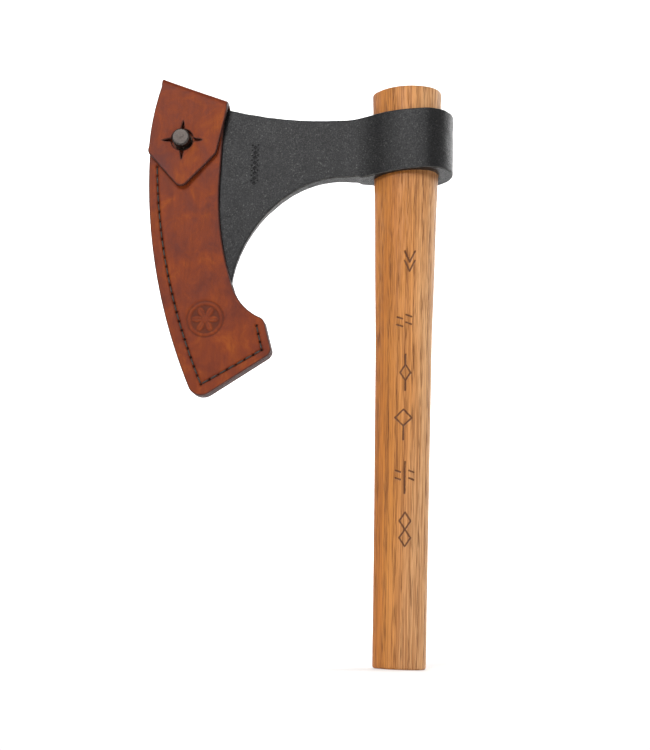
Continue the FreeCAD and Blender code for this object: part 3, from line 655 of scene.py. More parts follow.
def handle_rows():
    """Level and width of each row: rims drawn in along a quarter circle, and end faces shrunk to a point."""
    turn = np.linspace(0, math.pi / 2, 7)
    rim_in = RIM_ROUND * (1 - np.sin(turn))
    rim_up = RIM_ROUND * (1 - np.cos(turn))
    body = np.concatenate([
        np.arange(2 * RIM_ROUND, MARKS_FROM, PLAIN_ROW), np.arange(MARKS_FROM, MARKS_TO, MARK_ROW),
        np.arange(MARKS_TO, HANDLE_TOP - 2 * RIM_ROUND, PLAIN_ROW),
    ])
    cap = np.linspace(0, 1, 9)[:-1]
    ends, plain = np.zeros(cap.size), np.zeros(body.size)
    level = np.concatenate([ends, rim_up, body, HANDLE_TOP - rim_up[::-1], ends + HANDLE_TOP])
    inset = np.concatenate([ends + RIM_ROUND, rim_in, plain, rim_in[::-1], ends + RIM_ROUND])
    shrink = np.concatenate([cap, np.ones(level.size - 2 * cap.size), cap[::-1]])
    nearby = [np.interp(level + step, HANDLE_LEVELS, HANDLE_WIDTHS) for step in (0, SMOOTH_REACH, -SMOOTH_REACH)]
    width = np.where((level > SMOOTH_FROM) & (level < SMOOTH_TO), sum(nearby) / 3, nearby[0])
    return level, (width - 2 * inset) * shrink


def make_handle():
    """Egg sections stacked up the handle, planed with shallow waves, with the marks burned in down the front."""
    level, width = handle_rows()
    # Front columns are closer together where the marks are.
    front = np.concatenate([
        np.linspace(0, 0.30, 16)[:-1], np.linspace(0.30, 0.70, 48)[:-1], np.linspace(0.70, 1, 16),
    ])
    rear = np.linspace(1, 0, 44)[1:-1]
    front_half, rear_half = [
        egg(np.repeat(width, share.size), np.tile(share, level.size)).reshape(level.size, -1, 2)
        for share in (front, rear)
    ]
    section = np.concatenate([front_half, rear_half * (1, -1)], 1)
    levels = np.broadcast_to(level[:, None, None], section.shape[:2] + (1,))
    quads = grid_quads(level.size, section.shape[1], around=True)
    mesh = make_mesh("handle_wood", np.concatenate([section, levels], 2).reshape(-1, 3), quads)
    points, normals = read_points(mesh)
    # Planing leaves waves of a tenth, long in the grain's direction, below the head and above the end.
    waves = 0.10 * field(points, (7, 7, 60), 11) + 0.05 * field(points, (2.5, 2.5, 30), 12)
    waves = np.where((points[:, 2] > 2) & (points[:, 2] < 296), waves, 0)
    gap = np.full(len(points), np.inf)
    front_side = points[:, 1] < -4
    for stroke in BURNS:
        found = distance_to(points[front_side][:, [0, 2]], np.array(stroke, float))[0]
        gap[front_side] = np.minimum(gap[front_side], found)
    wobble = 0.12 * field(points, (0.9, 0.9, 0.9), 13)
    burn = 1 - ease(gap + wobble, BURN_HALF - BURN_SOFT, BURN_HALF + BURN_SOFT)
    write_points(mesh, points + normals * (waves - BURN_DEPTH * burn)[:, None])
    set_value(mesh, "burn", burn)
    # Painted shade under the ring, and darker rims at both ends.
    under = bell(points[:, 2] - UNDER_RING, 2.2) + 0.35 * bell(points[:, 2] - UNDER_RING + 3.5, 7)
    rims = np.exp(-points[:, 2] / 0.8) + np.exp(-(HANDLE_TOP - points[:, 2]) / 0.8)
    set_value(mesh, "ring_shade_and_dark_rims", np.clip(under + 0.5 * rims, 0, 1))
    add_piece(mesh, hickory(), ["handle"], "handle")


# ---------------------------------------------------------------- head

def head_plan():
    """The head's plan on the -Y side from past the edge to the poll, in (x, y): lines and arcs."""
    return trace([
        (-158.0, -1.9), (-103.0, -2.15), (-43.8, -4.7, 60.0, -1), (-18.0, -11.2, 65.0, 1),
        (POLL_X, -RING_HALF, RING_HALF, 1), (POLL_X + RING_HALF, 0.0),
    ])


def blade_half(x, z):
    """Half thickness of the blade: the plan's, thinned by a straight bevel that ends in the cutting edge."""
    plan = head_plan()
    half = np.interp(x, plan[:, 0], -plan[:, 1])
    radius = np.hypot(x - EDGE_CENTRE[0], z - EDGE_CENTRE[1])
    wedge = BEVEL_HALF * (EDGE_RADIUS - radius) / (EDGE_RADIUS - BEVEL_START)
    return np.clip(np.minimum(half, wedge), 0, None)


def rounding(distance):
    """How far a surface draws in at a distance from its corner, for a corner rounded by a quarter circle."""
    left = np.clip(HEAD_ROUND - distance, 0, HEAD_ROUND)
    return HEAD_ROUND - np.sqrt(np.clip(HEAD_ROUND ** 2 - left ** 2, 0, None))


def blade_columns():
    """Lower and upper ends of the blade's columns from the heel to the neck, and how many end on the edge.

    The lower ends follow the beard; the upper ends follow the cutting edge to the toe and then the top line.
    """
    beard = trace([(*NECK_LOW, BEARD_TIGHT, 1), (*BEARD_JOIN, BEARD_WIDE, 1), HEEL])
    join = lengths(trace([(*NECK_LOW, BEARD_TIGHT, 1), BEARD_JOIN]))[-1]
    top_line = trace([(*NECK_TOP, TOP_HOLLOW, -1), TOE])
    edge = trace([(*TOE, EDGE_RADIUS, 1), HEEL_TIP])
    beard_end, top_end, edge_end = [lengths(line)[-1] for line in (beard, top_line, edge)]
    start = np.interp(-BLADE_FROM, -top_line[:, 0], lengths(top_line))
    over = np.linspace(0, 1, TOP_COLUMNS)[:-1]
    down = clustered(edge_end, EDGE_COLUMNS)
    down = np.concatenate([[0, 0.007, 0.014], down[down > 0.02]])
    low = np.concatenate([along(beard, over * join), along(beard, join + down * (beard_end - join))])
    high = np.concatenate([along(top_line, start + over * (top_end - start)), along(edge, down * edge_end)])
    return low[::-1], high[::-1], down.size


def ring_columns():
    """The ring's columns on the plan from the neck round to the poll: places, outward directions and levels."""
    plan = head_plan()
    reach = lengths(plan)
    first = np.interp(BLADE_FROM, plan[:, 0], reach)
    ring = along(plan, np.linspace(first, reach[-1], RING_COLUMNS))
    slope = np.gradient(ring, axis=0)[1:]
    out = np.stack([slope[:, 1], -slope[:, 0]], 1) / np.hypot(*slope.T)[:, None]
    out[-1] = (1, 0)
    ring = ring[1:]
    low = np.interp(ring[:, 0], *RING_UNDER.T)
    high = np.interp(ring[:, 0], *RING_OVER.T)
    # The blade's hollow top line runs on as far as the ring.
    top_line = trace([(*NECK_TOP, TOP_HOLLOW, -1), TOE])
    hollow = ring[:, 0] < NECK_TOP[0]
    high[hollow] = np.interp(-ring[hollow, 0], -top_line[:, 0], top_line[:, 1])
    return ring, out, low, high


def make_head():
    """One surface of columns round the plan, each going from the lower rim over the outer face to the upper rim.

    In the blade a column runs straight from the beard's curve to the top line or the cutting edge; in the ring
    it stands upright on the plan. Top and bottom faces go in to the midline or to the eye's rim, and the eye's
    wall joins the two rims. The other half is its mirror image.
    """
    low, high, edge_count = blade_columns()
    ring, ring_out, ring_low, ring_high = ring_columns()
    blade_count, ring_count = len(low), len(ring)
    columns = blade_count + ring_count
    # Outer face: rows close together at both rims.
    length = np.concatenate([np.hypot(*(high - low).T), ring_high - ring_low])
    shares = np.stack([clustered(item, HEAD_ROWS) for item in length], 1)
    blade = low + shares[:, :blade_count, None] * (high - low)
    x = np.concatenate([blade[..., 0], np.broadcast_to(ring[:, 0], (len(shares), ring_count))], 1)
    z = np.concatenate([blade[..., 1], ring_low + shares[:, blade_count:] * (ring_high - ring_low)], 1)
    half = blade_half(x, z)
    half[:, blade_count:] = -ring[:, 1]
    from_rim = np.minimum(shares, 1 - shares) * length
    # The cutting edge itself stays sharp: only the beard's side of its columns is rounded, and the heel.
    from_rim[:, :edge_count] = (shares * length)[:, :edge_count]
    to_heel = distance_to(blade.reshape(-1, 2), np.array([HEEL, HEEL_TIP]))[0].reshape(len(shares), blade_count)
    from_rim[:, :blade_count] = np.minimum(from_rim[:, :blade_count], to_heel)
    inset = rounding(from_rim) * np.clip(half / HEAD_ROUND, 0, ROUND_SHARE)
    inset = np.where(half < KEEN, 0, np.minimum(inset, ROUND_SHARE * half))
    inset[:, blade_count:] = rounding(from_rim[:, blade_count:])
    outward = np.concatenate([np.tile((0.0, -1.0), (blade_count, 1)), ring_out])
    face = np.stack([x - inset * outward[:, 0], -half - inset * outward[:, 1], z], 2)
    # Inner line: the midline as far as the eye's nose, then the eye's rim; both rims change over at one column.
    eye_widths = np.interp([ring_low[0], ring_high[-1]], HANDLE_LEVELS, HANDLE_WIDTHS) + 2 * EYE_GAP
    starts = int(np.argmax(ring[:, 0] > -eye_widths.max() / 2))
    eye_from = blade_count + starts
    share = np.clip((np.arange(columns) - eye_from) / (ring_count - 1 - starts), 0, 1)
    in_eye = (np.arange(columns) >= eye_from)[:, None]
    low_inner, top_inner = [
        np.where(in_eye, np.concatenate([egg(np.full(columns, width), share), rim[:, 2:]], 1), rim * (1, 0, 1))
        for width, rim in zip(eye_widths, (face[0], face[-1]))
    ]
    across = np.array([0.0, 0.35, 0.7, 0.93])[:, None, None]
    under = low_inner + across * (face[0] - low_inner)
    over = top_inner + across[::-1] * (face[-1] - top_inner)
    shell = np.concatenate([under, face, over], 0)
    # The heel's end is closed to the midline.
    shell = np.concatenate([shell[:, :1] * (1, 0, 1), shell], 1)
    up = np.linspace(0, 1, EYE_ROWS)[:, None, None]
    eye_wall = low_inner[eye_from:] * (1 - up) + top_inner[eye_from:] * up
    points, quads, count = [], [], 0
    for mirror in (1, -1):
        for part in (shell, eye_wall):
            points.append((part * (1, mirror, 1)).reshape(-1, 3))
            quads.append(grid_quads(part.shape[0], part.shape[1], count))
            count += len(points[-1])
    mesh = make_mesh("forged_head", np.concatenate(points), np.concatenate(quads))
    refine_punches(mesh)
    forge(mesh)
    add_piece(mesh, black_forged_steel(), ["axe_head"], "head")


def refine_punches(mesh):
    """Finer faces on the front of the blade where the punched marks go: each edge there is cut in five."""
    centre, normal = [np.empty(len(mesh.polygons) * 3, np.float32) for unused in range(2)]
    mesh.polygons.foreach_get("center", centre)
    mesh.polygons.foreach_get("normal", normal)
    x, unused_y, z = centre.reshape(-1, 3).T / MM
    chosen = (normal[1::3] < -0.7) & (np.abs(x - PUNCH_X) < FINE_ACROSS)
    chosen &= (z > PUNCH_ROWS[0] - FINE_UP) & (z < PUNCH_ROWS[-1] + FINE_UP)
    work = bmesh.new()
    work.from_mesh(mesh)
    work.faces.ensure_lookup_table()
    edges = dict.fromkeys(edge for index in np.flatnonzero(chosen) for edge in work.faces[index].edges)
    bmesh.ops.subdivide_edges(work, edges=list(edges), cuts=4, use_grid_fill=True)
    bmesh.ops.triangulate(work, faces=[face for face in work.faces if len(face.verts) > 4])
    work.to_mesh(mesh)
    work.free()
    mesh.shade_smooth()


def forge(mesh):
    """Forging marks along the normals: broad hammer dips, grains of scale and punched marks; then values for the
    ground bevel, painted shade in the punched marks and rubbed corners.
    """
    points, normals = read_points(mesh)
    radius = np.hypot(points[:, 0] - EDGE_CENTRE[0], points[:, 2] - EDGE_CENTRE[1])
    in_blade = points[:, 0] < BLADE_FROM + 1
    ground = ease(radius, GROUND_FROM, GROUND_TO) * in_blade
    scale = sum(
        depth * field(points, (cell,) * 3, seed)
        for depth, cell, seed in ((0.12, 9, 21), (0.10, 3.2, 22), (0.07, 1.6, 23))
    )
    # Round the eye the scale is lower, and its flat top and bottom faces are plain.
    side_faces = (np.abs(normals[:, 1]) > 0.25) | (points[:, 0] > 18)
    outside = np.hypot(points[:, 0], points[:, 1]) > 24.5
    scale *= (1 - ground) * np.where(outside, 1, side_faces * 0.6)
    across = points[:, 0] - PUNCH_X
    sunk = np.zeros(len(points))
    for level in PUNCH_ROWS:
        up = points[:, 2] - level
        diamond = PUNCH_HALF - (np.abs(across) + np.abs(up))
        dot = DOT_RADIUS - np.hypot(np.abs(across) - DOT_ACROSS, up - PUNCH_STEP / 2)
        sunk = np.maximum(sunk, np.maximum(ease(diamond, -0.1, 0.25), ease(dot, -0.1, 0.2)))
    sunk *= (normals[:, 1] < -0.7) & in_blade
    write_points(mesh, points + normals * (scale - PUNCH_DEPTH * sunk)[:, None])
    set_value(mesh, "ground", ground)
    # The punched marks' value paints them darker: painted shade.
    set_value(mesh, "sunk", sunk)
    # Corners are rubbed bright where the normal leaves the outer faces.
    corner = bell(np.abs(normals[:, 2]) - 0.6, 0.22) * (0.55 + 0.45 * field(points, (2, 2, 2), 24))
    set_value(mesh, "worn", np.clip(corner, 0, 1) * (1 - ground))


# ---------------------------------------------------------------- leather

def leather_line(right_end, left_end):
    """The leather's edge from the right end of the top, down the side, round the boot and up the long edge."""
    return trace([
        right_end, (*SIDE_LOW, 205.0, 1), (*INSTEP, 34.5, 1), (*BOOT_TOP, 6.0, -1), BOOT_SIDE,
        (*BOOT_LOW, 6.0, -1), SOLE_RIGHT, (*SOLE_LEFT, 9.0, -1), (*TIP, 371.5, -1),
        (*WIDEST, LONG_EDGE_TOP, -1), left_end,
    ])


def seam_runs():
    """The seam's three runs: the long curve, the lower edge and the boot's right edge."""
    runs = ([(*SEAM_TOP, SEAM_RADIUS, 1), SEAM_TIP], [SEAM_TIP, SEAM_HEEL], [SEAM_HEEL, SEAM_END])
    return [trace(run) for run in runs]


def seam_holes():
    """Places of the holes, an even pitch apart on each run; runs share the hole at their corner."""
    holes = []
    for run in seam_runs():
        total = lengths(run)[-1]
        holes.append(along(run, np.linspace(0, total, round(total / SEAM_PITCH) + 1))[1 if holes else 0:])
    return np.concatenate(holes)


def panel_grid(line, shares, spacing):
    """Rows ruled from the right edge to the left edge, from the top down to the lowest corner.

    The two edges are matched at the boot's corners, so that rows stay close to square with both. The rows
    nearest to the lowest corner are left out, because both their ends would lie on one straight stretch.
    """
    total = lengths(line)[-1]
    corners = [place_on(line, point) for point in (SIDE_LOW, INSTEP, BOOT_TOP, BOOT_SIDE, BOOT_LOW, SOLE_RIGHT)]
    lowest = (place_on(line, SOLE_LEFT) + place_on(line, TIP)) / 2
    right = np.array([0.0, *corners, lowest])
    left = np.array([total, total - 62, *(lowest + np.array([84, 63, 55, 37, 27])), lowest])
    down = spacing * (total - lowest)
    down = lowest + down[(down == 0) | (down > ROW_CLEAR)]
    right_rows = along(line, np.interp(-down, -left, right))
    left_rows = along(line, down)
    return right_rows[:, None] * (1 - shares)[None, :, None] + left_rows[:, None] * shares[None, :, None]


def slab(middle, out, from_rim, relief, first=0):
    """Two faces of one piece of leather, which meet along its rim.

    From the rim inwards the half thickness rises as the cube root of 1 - s^3 to half the leather's thickness,
    where s falls from 1 at the rim to 0. relief is added to the outer face and fades out at the rim.
    """
    inwards = np.clip(from_rim / LEATHER_RIM, 0, 1)
    half = LEATHER / 2 * np.cbrt(np.clip(1 - (1 - inwards) ** 3, 0, None))
    outer = middle + out * (half + relief * inwards)[..., None]
    inner = middle - out * half[..., None]
    quads = [grid_quads(*from_rim.shape, first), grid_quads(*from_rim.shape, first + from_rim.size)]
    return np.concatenate([outer.reshape(-1, 3), inner.reshape(-1, 3)]), np.concatenate(quads)


def rim_value(from_rim):
    """Burnished rim, from 1 at the edge to 0, for both faces of a slab."""
    return np.tile(1 - ease(from_rim.ravel(), 0.25, 1.1), 2)


def outer_only(value):
    """A value for the outer face of a slab, with 0 on its inner face."""
    return np.concatenate([np.ravel(value), np.zeros(np.size(value))])


def seam_relief(flat):
    """The pressed groove under the stitches and the pit at each hole, with a value for each; the holes' value
    paints them near black as their shade.
    """
    gap = np.full(len(flat), np.inf)
    for run in seam_runs():
        coarse = run[::3] if len(run) > 30 else run
        gap = np.minimum(gap, distance_to(flat, coarse)[0])
    pit = np.full(len(flat), np.inf)
    for hole in seam_holes():
        pit = np.minimum(pit, np.hypot(*(flat - hole).T))
    groove = bell(gap, GROOVE_HALF)
    hole_and_painted_shade = 1 - ease(pit, 0.6, 1.05)
    return -GROOVE_DEPTH * groove - PIT_DEPTH * hole_and_painted_shade, 0.45 * groove, hole_and_painted_shade


def medallion_relief(flat):
    """A pressed round medallion: a sunk ring, and a sunk field from which a six-petalled rosette stands.

    A petal's edge lies at PETAL |cos 3a|^0.6 from the centre, where a is the angle; a vein runs down each petal.
    """
    across, up = (flat - np.array(MEDALLION)).T
    radius, angle = np.hypot(across, up), np.arctan2(up, across)
    sixth = math.pi / 3
    ring = bell(radius - MEDALLION_RADIUS, 0.5)
    inside = 1 - ease(radius, MEDALLION_RADIUS - 2.6, MEDALLION_RADIUS - 1.9)
    petal_edge = PETAL * np.abs(np.cos(3 * angle)) ** 0.6
    petal = 1 - ease(radius, petal_edge - 0.6, petal_edge + 0.3)
    vein = bell(radius * np.sin((angle + sixth / 2) % sixth - sixth / 2), 0.35) * (radius > 2) * petal
    boss = 1 - ease(radius, 1.5, 2.2)
    sunk = inside * (1 - np.maximum(petal, boss))
    relief = -0.42 * ring - 0.38 * sunk - 0.16 * vein * (radius < PETAL - 1) + 0.1 * boss
    return relief, np.clip(0.8 * ring + 0.75 * sunk + 0.4 * vein, 0, 1)


def make_front_panel(leather):
    """Front panel: a slab on ruled rows, with the seam's groove and the medallion pressed into it."""
    top_right = (FOLD_RIGHT[0] - FRONT_IN, FOLD_RIGHT[1] - FRONT_DROP)
    line = leather_line(top_right, (FOLD_LEFT[0], FOLD_LEFT[1] - FRONT_DROP))
    # Rows run from the top to the lowest corner, with finer ones across the medallion.
    places = np.concatenate([clustered(200.0, 230), np.linspace(0.13, 0.32, 70)])
    grid = panel_grid(line, clustered(NOMINAL_WIDTH, 84), np.unique(np.round(places, 6))[::-1])
    flat = grid.reshape(-1, 2)
    from_rim = distance_to(flat, np.concatenate([line, line[:1]]))[0].reshape(grid.shape[:2])
    groove, groove_value, hole_and_painted_shade = seam_relief(flat)
    emblem, emblem_value = medallion_relief(flat)
    deep = np.stack([flat[:, 0], np.zeros(len(flat)), flat[:, 1]], 1)
    waves = 0.10 * field(deep, (26, 26, 26), 31) + 0.04 * field(deep, (7, 7, 7), 32)
    middle = (deep - (0, (WELT + LEATHER) / 2, 0)).reshape(*from_rim.shape, 3)
    relief = (groove + emblem + waves).reshape(from_rim.shape)
    points, quads = slab(middle, np.array([0.0, -1.0, 0.0]), from_rim, relief)
    values = {
        "rim": rim_value(from_rim), "pressed": outer_only(np.maximum(groove_value, emblem_value)),
        "hole_and_painted_shade": outer_only(hole_and_painted_shade),
    }
    mesh = make_mesh("front_panel", points, quads, values)
    add_piece(mesh, leather, ["sheath_front_panel"], "sheath")


def buttonhole(angle):
    """Edge of the buttonhole at an angle round its centre: a circle with four slits that narrow to points."""
    away = np.abs((angle + math.pi / 4) % (math.pi / 2) - math.pi / 4)
    radius = HOLE_RADIUS + SLIT_LENGTH * np.clip(1 - away / SLIT_HALF, 0, 1) ** 1.6
    return np.array(STUD) + radius[:, None] * np.stack([np.cos(angle), np.sin(angle)], 1)


def fold_shares(fold_length):
    """Places of the columns along the fold, from right to left, close together at both ends and over a slit."""
    over_stud = (FOLD_RIGHT[0] - STUD[0]) / (FOLD_RIGHT[0] - FOLD_LEFT[0])
    near_slit = over_stud + np.array([-4.5, -3, -1.8, -0.8, 0, 0.8, 1.8, 3, 4.5]) / fold_length
    shares = clustered(fold_length, 62)
    shares = shares[np.abs(shares - over_stud) > 5.2 / fold_length]
    return np.sort(np.concatenate([shares, near_slit]))


def flap_grid(on_fold):
    """The flap's middle surface as a polar grid from the buttonhole to its outline, and distances to its rims.

    Where the outline is the fold line, a column ends on each of the fold's points. The flap lifts a little
    round the stud and towards its point.
    """
    centre = np.array(STUD)
    fold_angle = np.arctan2(*(on_fold - centre)[:, ::-1].T)
    edge = trace(FLAP_EDGE)
    edge_angle = np.unwrap(np.arctan2(*(edge - centre)[:, ::-1].T))
    edge_angle += 2 * math.pi * round((fold_angle[-1] - edge_angle[0]) / (2 * math.pi))
    # Slits point left, down and right here; the fourth meets the fold's own columns.
    slits = np.array([math.pi, 1.5 * math.pi, 2 * math.pi])
    even = np.linspace(edge_angle[0], edge_angle[-1], 150)
    even = even[np.abs(even[:, None] - slits).min(1) > 0.18][1:-1]
    close = np.array([0.0012, 0.004, 0.01, 0.02])
    round_slits = (slits[:, None] + SLIT_COLUMNS).ravel()
    rest = np.unique(np.concatenate([even, round_slits, edge_angle[0] + close, edge_angle[-1] - close]))
    rest_point = np.stack([np.interp(rest, edge_angle, edge[:, axis]) for axis in (0, 1)], 1)
    angle = np.concatenate([fold_angle, rest, fold_angle[:1] + 2 * math.pi])
    border = np.concatenate([on_fold, rest_point, on_fold[:1]])
    hole = buttonhole(angle)
    steps = clustered(16.0, 26)[:, None, None]
    grid = hole * (1 - steps) + border * steps
    flat = grid.reshape(-1, 2)
    rings = (edge, np.concatenate([hole, hole[:1]]))
    from_rim = np.minimum(*[distance_to(flat, ring)[0] for ring in rings]).reshape(grid.shape[:2])
    below = distance_to(flat, np.array([FOLD_LEFT, FOLD_RIGHT]))[0]
    from_stud = np.hypot(*(flat - centre).T)
    lift = 0.55 * bell(from_stud - 7, 3.5) + 0.9 * ease(below, 34, 60)
    y = -(FRONT_FACE + FLAP_GAP + LEATHER / 2) - lift
    on_fold_rim = distance_to(on_fold, edge)[0]
    return np.stack([flat[:, 0], y, flat[:, 1]], 1).reshape(*grid.shape[:2], 3), from_rim, on_fold_rim


def fold_grid(on_fold, along_fold):
    """The fold's middle surface and outward directions: a channel of two legs, two bends and a flat top.

    Its path is in (y, height above the fold line), from the flap over the blade to the back panel.
    """
    reach = (WELT + 2 * LEATHER + FLAP_GAP) / 2
    turn = np.linspace(0, math.pi / 2, 9)
    bend = np.stack([FOLD_BEND * (1 - np.cos(turn)) - reach, FOLD_HEIGHT - FOLD_BEND * (1 - np.sin(turn))], 1)
    path = np.concatenate([
        [[-reach, 0.0], [-reach, 1.4]], bend, [[-1.2, FOLD_HEIGHT], [1.2, FOLD_HEIGHT]],
        bend[::-1] * (-1, 1), [[reach, 1.4], [reach, 0.0]],
    ])
    tangent = np.gradient(path, axis=0)
    tangent[[0, -1]] = [(0, 1), (0, -1)]
    tangent /= np.hypot(*tangent.T)[:, None]
    axes = np.array([(0.0, 1.0, 0.0), (FOLD_LEAN, 0.0, along_fold[0])])
    base = np.stack([on_fold[:, 0], np.full(len(on_fold), -(LEATHER + FLAP_GAP) / 2), on_fold[:, 1]], 1)
    fold = base + (path @ axes)[:, None]
    out = np.stack([-tangent[:, 1], tangent[:, 0]], 1) @ axes
    return fold, np.broadcast_to(out[:, None], fold.shape)


def make_hide(leather):
    """Back panel, fold and flap of one hide, worked out as three grids that share their edges."""
    fold_left, fold_right = np.array(FOLD_LEFT), np.array(FOLD_RIGHT)
    fold_length = math.dist(FOLD_LEFT, FOLD_RIGHT)
    along_fold = (fold_right - fold_left) / fold_length
    shares = fold_shares(fold_length)
    on_fold = fold_right + shares[:, None] * (fold_left - fold_right)
    flap, flap_rim, fold_rim = flap_grid(on_fold)
    fold, fold_out = fold_grid(on_fold, along_fold)
    line = leather_line(FOLD_RIGHT, FOLD_LEFT)
    back = panel_grid(line, shares, clustered(206.0, 200)[::-1])
    back_flat = back.reshape(-1, 2)
    back_rim = distance_to(back_flat, line)[0].reshape(back.shape[:2])
    back_middle = np.stack([back[..., 0], np.full(back.shape[:2], (WELT + LEATHER) / 2), back[..., 1]], -1)
    # Each part: middle surface, outward direction, distance to the rim, and the row that is a cut face, if any.
    back_part = (back_middle, np.array([0.0, 1.0, 0.0]), back_rim, 0)
    flap_part = (flap, np.array([0.0, -1.0, 0.0]), flap_rim, None)
    fold_part = (fold, fold_out, np.broadcast_to(fold_rim, fold.shape[:2]), -1)
    back_piece = leather_piece("sheath_back", [back_part], ["sheath_back_panel"], leather, seam_relief(back_flat))
    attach(back_piece, "sheath")
    closing = leather_piece("sheath_flap", [flap_part, fold_part], ["flap_fold", "closing_flap"], leather)
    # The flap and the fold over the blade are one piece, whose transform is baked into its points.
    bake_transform(closing)


def leather_piece(name, parts, nodes, leather, seam=(0.0, 0.0, 0.0)):
    """One piece of leather from parts that share edges; seam holds its relief, its pressed value and the painted
    shade of its holes.
    """
    built, count = [], 0
    for middle, out, from_rim, cut_row in parts:
        flat_points = middle.reshape(-1, 3)
        waves = 0.12 * field(flat_points, (24, 24, 24), 33) + 0.04 * field(flat_points, (7, 7, 7), 34)
        relief, pressed, hole_and_painted_shade = [item + np.zeros(from_rim.size) for item in seam]
        points, quads = slab(middle, out, from_rim, (relief + waves).reshape(from_rim.shape), count)
        if cut_row is not None:
            rows, columns = from_rim.shape
            outer = count + (cut_row % rows) * columns + np.arange(columns)
            inner = outer + from_rim.size
            quads = np.concatenate([quads, np.stack([outer[:-1], outer[1:], inner[1:], inner[:-1]], 1)])
        count += len(points)
        built.append((points, quads, rim_value(from_rim), outer_only(pressed), outer_only(hole_and_painted_shade)))
    points, quads, rim, pressed, hole_and_painted_shade = [np.concatenate(item) for item in zip(*built)]
    # The flap's point is scuffed darker on its left.
    scuff = bell(np.hypot(points[:, 0] + 160, (points[:, 2] - 312) * 0.8), 9) * (points[:, 1] < -6)
    values = {"rim": rim, "pressed": pressed, "hole_and_painted_shade": hole_and_painted_shade, "scuff": scuff}
    return add_piece(make_mesh(name, points, quads, values, sharp=70), leather, nodes)


def make_welt():
    """Welt: a strip ruled between the leather's edge and its own inner line.

    Its half thickness is the fourth root of 1 - s^4, where s falls from 1 at the rim to 0: nearly square.
    """
    whole = leather_line(FOLD_RIGHT, FOLD_LEFT)
    boot, sole, toe_left, toe, widest = [
        place_on(whole, point) for point in (BOOT_TOP, SOLE_RIGHT, SOLE_LEFT, TIP, WIDEST)
    ]
    inner = trace([WELT_END, WELT_HEEL, (*WELT_TIP, WELT_RADIUS, -1), WELT_TOP])
    outer_marks = [boot, sole, (toe_left + toe) / 2, widest]
    inner_marks = [0.0, place_on(inner, WELT_HEEL), place_on(inner, WELT_TIP), lengths(inner)[-1]]
    rows = clustered(1.0, 330, near=(0, 0.00015, 0.0006, 0.0015))
    place = np.interp(rows, [0, 0.11, 0.30, 1], range(4))
    outside = along(whole, np.interp(place, range(4), outer_marks))
    inside = along(inner, np.interp(place, range(4), inner_marks))
    across = clustered(12.0, 8, near=(0, 0.03, 0.12, 0.3, 0.5))[None, :, None]
    grid = outside[:, None] * (1 - across) + inside[:, None] * across
    border = np.concatenate([
        along(whole, np.arange(boot, widest, 0.5)), along(whole, [widest]), inner[::-1], along(whole, [boot]),
    ])
    from_rim = distance_to(grid.reshape(-1, 2), border)[0].reshape(grid.shape[:2])
    left = 1 - np.clip(from_rim / WELT_RIM, 0, 1)
    half = WELT_HALF * np.sqrt(np.sqrt(1 - left ** 4))
    half[[0, -1]] = 0
    half[:, [0, -1]] = 0
    faces = [np.stack([grid[..., 0], side * half, grid[..., 1]], -1).reshape(-1, 3) for side in (-1, 1)]
    quads = [grid_quads(*half.shape, first) for first in (0, half.size)]
    mesh = make_mesh("sheath_welt_strip", np.concatenate(faces), np.concatenate(quads))
    add_piece(mesh, slicked_edge(), ["sheath_welt"], "sheath")


# ---------------------------------------------------------------- thread, stud and screw

def make_stitches(name, face_y, outward, node, thread):
    """Stitches of a twisted thread: each is a short bar that arches out of one hole and into the next.

    Its section is an ellipse whose radius swells by a tenth along a helix, as two plies do. The radius falls
    off as the root of 1 - e^10 and the height as e^6, where e grows from 0 at the middle to 1 at each end.
    """
    holes = seam_holes()
    start, way = holes[:-1], np.diff(holes, axis=0)
    span = np.hypot(*way.T)
    way = way / span[:, None]
    share = np.linspace(0, 1, 13)
    turn = np.linspace(0, 2 * math.pi, 9)[:-1]
    reach = SEAM_GAP / 2 + share[None, :] * (span[:, None] - SEAM_GAP)
    centre = start[:, None] + way[:, None] * reach[..., None]
    ends = np.abs(2 * share - 1)
    height = 0.08 - 0.75 * ends ** 6
    radius = THREAD * np.sqrt(1 - ends ** 10)
    swell = radius[:, None] * (1 + 0.10 * np.cos(2 * turn[None, :] + 9.0 * math.pi * share[:, None]))
    side = np.stack([-way[:, 1], way[:, 0]], 1)
    flat = centre[:, :, None] + side[:, None, None] * (swell * np.cos(turn))[None, ..., None]
    rise = height[:, None] + 0.9 * swell * np.sin(turn)
    y = face_y + outward * np.broadcast_to(rise, flat.shape[:3])
    points = np.stack([flat[..., 0], y, flat[..., 1]], -1).reshape(-1, 3)
    bar = share.size * turn.size
    quads = [grid_quads(share.size, turn.size, item * bar, around=True) for item in range(len(start))]
    add_piece(make_mesh(name, points, np.concatenate(quads)), thread, [node], "sheath")


def lathe(name, profile, base_y, around, step=0.12):
    """A profile of (radius, height) turned about the stud's axis; height is measured towards -Y.

    The profile is cut into short steps and smoothed twice with weights 1, 2, 1, so its corners are soft.
    """
    runs = []
    for here, there in zip(profile, profile[1:]):
        share = np.linspace(0, 1, max(2, int(math.dist(here, there) / step)), endpoint=False)[:, None]
        runs.append(np.array(here) * (1 - share) + np.array(there) * share)
    line = np.concatenate(runs + [np.array([profile[-1]])])
    for unused_pass in range(2):
        line[1:-1] = (line[:-2] + 2 * line[1:-1] + line[2:]) / 4
    turn = np.linspace(0, 2 * math.pi, around, endpoint=False)
    x = STUD[0] + line[:, :1] * np.cos(turn)
    z = STUD[1] + line[:, :1] * np.sin(turn)
    points = np.stack([x, base_y - line[:, 1:] + 0 * x, z], -1).reshape(-1, 3)
    return make_mesh(name, points, grid_quads(len(line), around, around=True))


